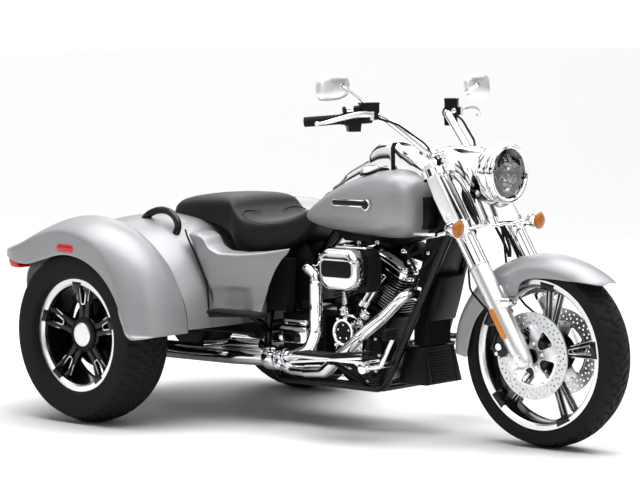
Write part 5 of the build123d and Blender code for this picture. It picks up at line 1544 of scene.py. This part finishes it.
def add_nacelle():
    """The chrome cover round the clamps: a crowned top, recessed sides and a concave front under the lamp, with
    a black sheet of painted shade and dark reflection on each side.
    """
    top, rings = Shape(), []
    for x, z, half in smooth_run(NACELLE_SPINE, 4):
        side = [(x - 4, half * 1.02, z - 92), (x - 2, half * 1.03, z - 64), (x, half * 1.01, z - 38),
                (x, half * 0.95, z - 20), (x, half * 0.82, z - 8), (x, half * 0.5, z - 1.5)]
        rings.append([(a, -b, c) for a, b, c in side] + [(x, 0, z)]
                     + [(a, b, c) for a, b, c in reversed(side)])
    top.grid(rings, around=False)
    dress(top, "nacelle_top", "chrome", ("nacelle",), body="steering", thick=2.5, subdivide=1, sharp=50)
    sides, steps, shade_sheets = Shape(), Shape(), Shape()
    for sign in (-1, 1):
        ring = []
        for k in range(25):
            t = k / 24
            back, fore = edge_point(NACELLE_REAR, t), edge_point(NACELLE_FRONT, t)
            row = []
            for u, out in ((0, 108), (0.06, 114), (0.2, 116), (0.4, 116), (0.54, 114), (0.7, 108),
                           (0.82, 104), (0.92, 106), (0.97, 106), (1.0, 101)):
                dent = 7 * max(0.0, 1 - abs(u - 0.74) / 0.24) * min(1.0, max(0.0, (t - 0.12) * 5))
                place = back.lerp(fore, u)
                row.append((place.x, sign * (out - dent), place.z))
            ring.append(row)
        sides.grid(ring, around=False)
        steps.tube(curve(on_side(NACELLE_STEP, sign), 4), 2.2, 4, count=10)
        # a black sheet near the front edge of each side: painted deep shade and dark reflection in the chrome
        # under the lamp
        cut = [(688, 884), (684, 858), (690, 838), (706, 812), (728, 780), (750, 758), (764, 762), (742, 806),
               (716, 850)]
        shade_sheets.plate(cut, sign * 112.6, sign * 113.4)
    dress(sides, "nacelle_sides", "chrome", body="steering", thick=2.5, subdivide=1, sharp=60)
    dress(steps, "nacelle_steps", "chrome", body="steering")
    # black sheets on the chrome slot: painted shade and dark reflection
    dress(shade_sheets, "nacelle_shade_sheets", "black_gloss", slot="chrome", body="steering", bevel=0.3)
    face, rings = Shape(), []
    for x, z in ((690, 912), (706, 880), (728, 838), (750, 796), (770, 758)):
        rings.append([(x - 34 * (1 - (y / 101) ** 2), y, z)
                      for y in (-101, -88, -70, -48, -24, 0, 24, 48, 70, 88, 101)])
    face.grid(rings, around=False)
    dress(face, "nacelle_front", "chrome", body="steering", thick=2.5, subdivide=1, sharp=60)
    nuts = Shape()
    for sign in (-1, 1):
        nuts.turned([(-30, 0), (-30, 14), (-2, 15.5), (2, 14), (2, 8), (-3, 7), (-3, 0)],
                    (556, sign * 124, 996), (-0.25, sign, 0.12), count=36)
        nuts.pin(-30, 0, 11, (580, sign * 118, 1002), (-0.25, sign, 0.12), count=28)
    dress(nuts, "riser_caps", "chrome", body="steering", bevel=1)


def add_signals():
    bar, shells, glow, strips = Shape(), Shape(), Shape(), Shape()
    half = [(776, 44, 750), (778, 90, 756), (776, 120, 754), (762, 160, 748), (741, 206, 748)]
    bar.tube(curve([(x, -y, z) for x, y, z in half[::-1]] + [(780, 0, 754)] + half, 4), 5.5, 6, count=14)
    for sign in (-1, 1):
        at = (740, sign * 222, 750)
        shells.turned([(-34, 0), (-34, 10), (-26, 20), (-8, 29), (12, 32), (18, 32.6), (19.6, 31), (19.6, 28),
                       (14, 27), (14, 0)], at, FORWARD, count=56)
        shells.tube([(712, sign * 222, 740), (694, sign * 222, 731), (676, sign * 222, 727)], [9, 8, 7], 20,
                    count=18)
        shells.turned([(0, 7), (24, 6), (96, 5.4), (99, 4), (99, 0)], (662, sign * 222, 726), (-1, 0, -0.02),
                      count=18)
        glow.turned([(14.5, 0), (14.5, 29), (17, 30.6), (20, 30.8), (27, 24), (31, 13), (32, 0)], at, FORWARD,
                    count=48)
        glow.turned([(31.6, 0), (31.6, 7), (33.6, 6.4), (34, 0)], at, FORWARD, count=20)
        strip = slot_outline(20, 116, 9.6, 6)
        middle = Vector((889.5, sign * 172.5, 431.5))
        strips.grid([[middle + FORK_AHEAD * (u * s) + FORK_ALONG * (v * s) + Vector((0, sign * w, 0))
                      for u, v in strip] for w, s in ((-3, 1.0), (2.4, 1.0), (3.6, 0.94))], ends=True)
    dress(bar, "signal_bar", "chrome", body="steering")
    dress(shells, "signal_shells", "chrome", ("front_signals",), body="steering", sharp=40)
    dress(glow, "signal_lenses", "deep_amber", ("amber_lenses",), body="steering", bevel=0.5)
    dress(strips, "fork_reflectors", "amber", body="steering", bevel=0.5)


# the bar from its middle to its left tip, radius of its bends, and the two points of its straight end
BAR_PATH = [(588, 0, 985), (588, 60, 985), (533, 108, 1000), (385, 170, 1125), (236.2, 388.6, 1111.1)]
BAR_BENDS = [20, 35, 48]
BAR_END = ((385, 170, 1125), (225, 405, 1110))
GRIP_LENGTH = 138.5
LEVER = [(392, 236, 1128), (396, 262, 1134), (388, 316, 1134), (366, 366, 1124), (338, 408, 1112),
         (318, 430, 1107)]
LEVER_HALF = [(0, 7), (0.25, 10.5), (0.7, 8), (1, 4.5)]


def bar_at(distance, sign):
    """A point of the bar's straight end, at a distance from its last bend, and the way along it."""
    bend, tip = (Vector((x, sign * y, z)) for x, y, z in BAR_END)
    along = (tip - bend).normalized()
    return bend + along * distance, along


def add_handlebar():
    shape = Shape()
    for sign in (-1, 1):
        shape.tube(on_side(BAR_PATH, sign), 14, BAR_BENDS, count=28, steps=9)
    dress(shape, "bar_tube", "chrome", ("handlebar",), body="steering")
    grips, housings, levers, trim = Shape(), Shape(), Shape(), Shape()
    for sign in (-1, 1):
        start, along = bar_at(146, sign)
        profile = [(0, 14.2), (0, 19.5), (4, 20.5), (8, 19), (9, 17.4)]
        for k in range(9):
            at = 14 + k * 13
            profile += [(at, 17.5), (at + 9.5, 17.5), (at + 10.5, 16.7), (at + 12.2, 16.7)]
        profile += [(GRIP_LENGTH - 6, 17.6), (GRIP_LENGTH - 1, 17.2), (GRIP_LENGTH, 15), (GRIP_LENGTH, 0)]
        grips.turned(profile, start, along, count=40)
        middle, _ = bar_at(112, sign)
        housings.turned([(-31, 15), (-31, 22.5), (-27, 24.5), (27, 24.5), (31, 22.5), (31, 15)], middle,
                        along, count=40)
        housings.box(middle + Vector((4, 0, -24)), (50, 50, 44), x_dir=along, z_dir=(0, 0, -1), taper=0.84)
        place, _ = bar_at(64, sign)
        housings.turned([(-19, 15), (-19, 22), (19, 22), (19, 15)], place, along, count=36)
        housings.box(place + Vector((14, 0, 30)), (64, 46, 34), x_dir=along)
        housings.box(place + Vector((14, 0, 49)), (67, 49, 6), x_dir=along)
        housings.box(place + Vector((26, sign * 6, 6)), (50, 40, 26), x_dir=along)
        switch = middle + Vector((6, 0, 31)) + along * 10
        trim.turned([(-19, 0), (-19, 11), (-17, 12), (17, 12), (19, 11), (19, 0)], switch, along, count=30)
        housings.turned([(19.2, 0), (19.2, 13), (28, 13), (30, 10), (30, 0)], switch, along, count=30)
        housings.pin(-16, 16, 10, place + Vector((18, 0, 35)) + along * 42, along,
                        count=24)
        banjo = Vector((396, sign * 194, 1130))
        trim.pin(-8, 8, 6.5, banjo, (0.75, -sign * 0.65, 0), count=24)
        trim.turned([(-3, 6.5), (-3, 9.5), (3, 9.5), (3, 6.5)], banjo, (0.75, -sign * 0.65, 0), count=24,
                    closed=True)
        run, rings = curve(on_side(LEVER, sign), 5), []
        for k, p in enumerate(run):
            ahead = (run[min(k + 1, len(run) - 1)] - run[max(k - 1, 0)]).normalized()
            side = ahead.cross(Vector((0, 0, 1))).normalized()
            up = side.cross(ahead)
            tall = look_up(LEVER_HALF, k / (len(run) - 1))
            rings.append([p + side * (4.6 * math.cos(a)) + up * (tall * math.sin(a)) for a in round_turn(16)])
        levers.grid(rings, ends=True)
        ball = Vector((313, sign * 434, 1106))
        levers.turned([(-9 * math.cos(a), max(9 * math.sin(a), 0.01))
                       for a in (math.pi * n / 10 for n in range(11))], ball, (-0.6, sign * 0.8, 0), count=22)
        levers.pin(-15, 15, 8, (392, sign * 240, 1128), (0, 0, 1), count=24)
    dress(grips, "grips", "rubber", body="steering")
    dress(housings, "control_housings", "black_satin", ("hand_controls",), body="steering", bevel=2.5,
          segments=3)
    dress(levers, "levers", "satin_chrome", slot="bare_aluminium", body="steering")
    dress(trim, "control_trim", "chrome", body="steering", bevel=0.8)


# sign and middle of each head, toe-in in degrees, half width, half height, how square the outline is
MIRROR_HEADS = [(-1, (349, -388, 1231)), (1, (349, 388, 1212))]
MIRROR_TOE = 5
MIRROR_HALF, MIRROR_TALL, MIRROR_POWER = 74, 45, 3.2


def add_mirrors():
    backs, stems, glass = Shape(), Shape(), Shape()
    turn = math.radians(MIRROR_TOE)
    for sign, middle in MIRROR_HEADS:
        middle = Vector(middle)
        out = Vector((math.cos(turn), sign * math.sin(turn), 0.04)).normalized()
        wide = Vector((0, 0, 1)).cross(out).normalized() * sign
        tall = out.cross(wide * sign)
        corners = []
        for c, s, size in squared_circle(56, MIRROR_POWER):
            x, z = MIRROR_HALF * c * size, MIRROR_TALL * s * size
            z += 5 * (x / MIRROR_HALF) * (0.6 if s > 0 else -0.5) - (x / MIRROR_HALF) * 2
            corners.append((x - 3 * (z / MIRROR_TALL), z))
        rings = []
        for depth, share in ((-3, 0.985), (2, 1.0), (8, 0.985), (14, 0.93), (19, 0.80), (22.5, 0.58),
                             (24.5, 0.3), (25, 0.02)):
            rings.append([middle + wide * (x * share) + tall * (z * share) + out * (depth - 8)
                          for x, z in corners])
        backs.grid(rings, ends=True)
        glass.grid([[middle + wide * (x * s) + tall * (z * s) + out * (d - 8) for x, z in corners]
                    for d, s in ((-3.2, 0.96), (-4.0, 0.955))], ends=True)
        foot, _ = bar_at(84, sign)
        foot = foot + Vector((26, 0, 24))
        hub = middle + out * 14 - wide * 26 + Vector((0, 0, 2))
        stems.tube([foot, foot + Vector((2, sign * 4, 26)), hub + Vector((12, -sign * 10, -6)),
                    hub + Vector((4, 0, 0))], [4.6, 4.4, 4.2, 4.0], [16, 14], count=14)
        stems.pin(-8, 8, 8, foot, (0, 0, 1), count=20)
        stems.turned([(-3, 0), (-3, 9), (6, 8), (6, 0)], hub + out * -1, out, count=20)
    dress(backs, "mirror_backs", "satin_chrome", ("mirrors",), body="steering", sharp=60)
    dress(glass, "mirror_faces", "mirror_glass", body="steering")
    dress(stems, "mirror_stems", "chrome", body="steering")


# each hose on the left and the radius of its bends
UPPER_LINE = [(384, 212, 1121), (452, 176, 1098), (540, 134, 1030), (572, 106, 975), (578, 104, 950)]
UPPER_BENDS = [60, 60, 24]
LOWER_LINE = [(712, 70, 738), (716, 80, 680), (706, 104, 600), (716, 108, 530), (790, 104, 464),
              (872, 96, 420)]
LOWER_BENDS = [60, 80, 50, 60]


def add_lines():
    hose, ends = Shape(), Shape()
    for sign in (-1, 1):
        for run, bends in ((UPPER_LINE, UPPER_BENDS), (LOWER_LINE, LOWER_BENDS)):
            hose.tube(on_side(run, sign), 4, bends, count=12)
        ends.tube([(822, sign * 100.5, 447.5), (868, sign * 96, 424)], [5.4, 5.0], count=14)
    for run in ([(752, -10, 742), (772, -4, 706), (786, 6, 668), (790, 14, 640)],
                [(748, 26, 742), (770, 28, 700), (786, 24, 668), (792, 18, 640)],
                [(744, 44, 742), (764, 52, 706), (790, 62, 660), (806, 62, 640)]):
        hose.tube(curve(run, 5), 5, 6, count=12)
    dress(hose, "brake_and_clutch_lines", "rubber", ("control_lines",), body="steering")
    dress(ends, "line_ends", "chrome", body="steering")


def add_calipers():
    shape, bolts = Shape(), Shape()
    for sign in (-1, 1):
        middle = Vector((847, sign * DISC_Y, 367))
        along, out = Vector((0.375, 0, 0.927)), Vector((-0.927, 0, 0.375))
        for side in (-1, 1):
            rings = []
            for depth, share in ((6, 1.0), (16, 1.0), (20, 0.9), (22, 0.76)):
                rings.append([middle + out * (u * share) + along * (v * share) + Vector((0, side * depth, 0))
                              for u, v in slot_outline(60, 118, 16, 4)])
            shape.grid(rings, ends=True)
            for v in (-26, 26):
                shape.turned([(20, 0), (20, 20), (23.5, 18), (24, 0)], middle + along * v, (0, side, 0),
                             count=32)
                bolts.turned([(23.6, 0), (23.6, 13), (25.6, 12), (25.6, 0)], middle + along * v, (0, side, 0),
                             count=28)
        shape.box(middle + out * 24, (16, 44, 100), x_dir=out, z_dir=along)
        for v in (-52, 52):
            bolts.bolt(middle + along * v + Vector((0, sign * 20, 0)), (0, sign, 0), 7, 6)
        shape.tube([middle + along * 18 + out * -20 + Vector((0, sign * 18, 0)),
                    Vector((902, sign * 118, 356))], 11, count=18)
    dress(shape, "caliper_bodies", "black_gloss", ("front_calipers",), body="steering", bevel=1.5)
    dress(bolts, "caliper_bolts", "chrome", body="steering")


add_forks()
add_headlamp()
add_nacelle()
add_signals()
add_handlebar()
add_mirrors()
add_lines()
add_calipers()

# ---------------------------------------------------------------- the CAD's own pieces

NODE_FINISH = {
    "exhaust_headers": "chrome", "mufflers": "chrome", "side_panels": "black_plastic",
    "rear_axle": "black_satin", "swingarm": "black_satin", "rear_shocks": "black_gloss",
    "drive_belt": "rubber", "plate_bracket": "black_satin", "trunk_body": "silver", "trunk_lid": "silver",
    "triple_clamps": "chrome", "frame": "black_gloss",
}
for node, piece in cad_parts.items():
    piece.data.materials.clear()
    piece.data.materials.append(MATERIALS[NODE_FINISH.get(node, "black_satin")])
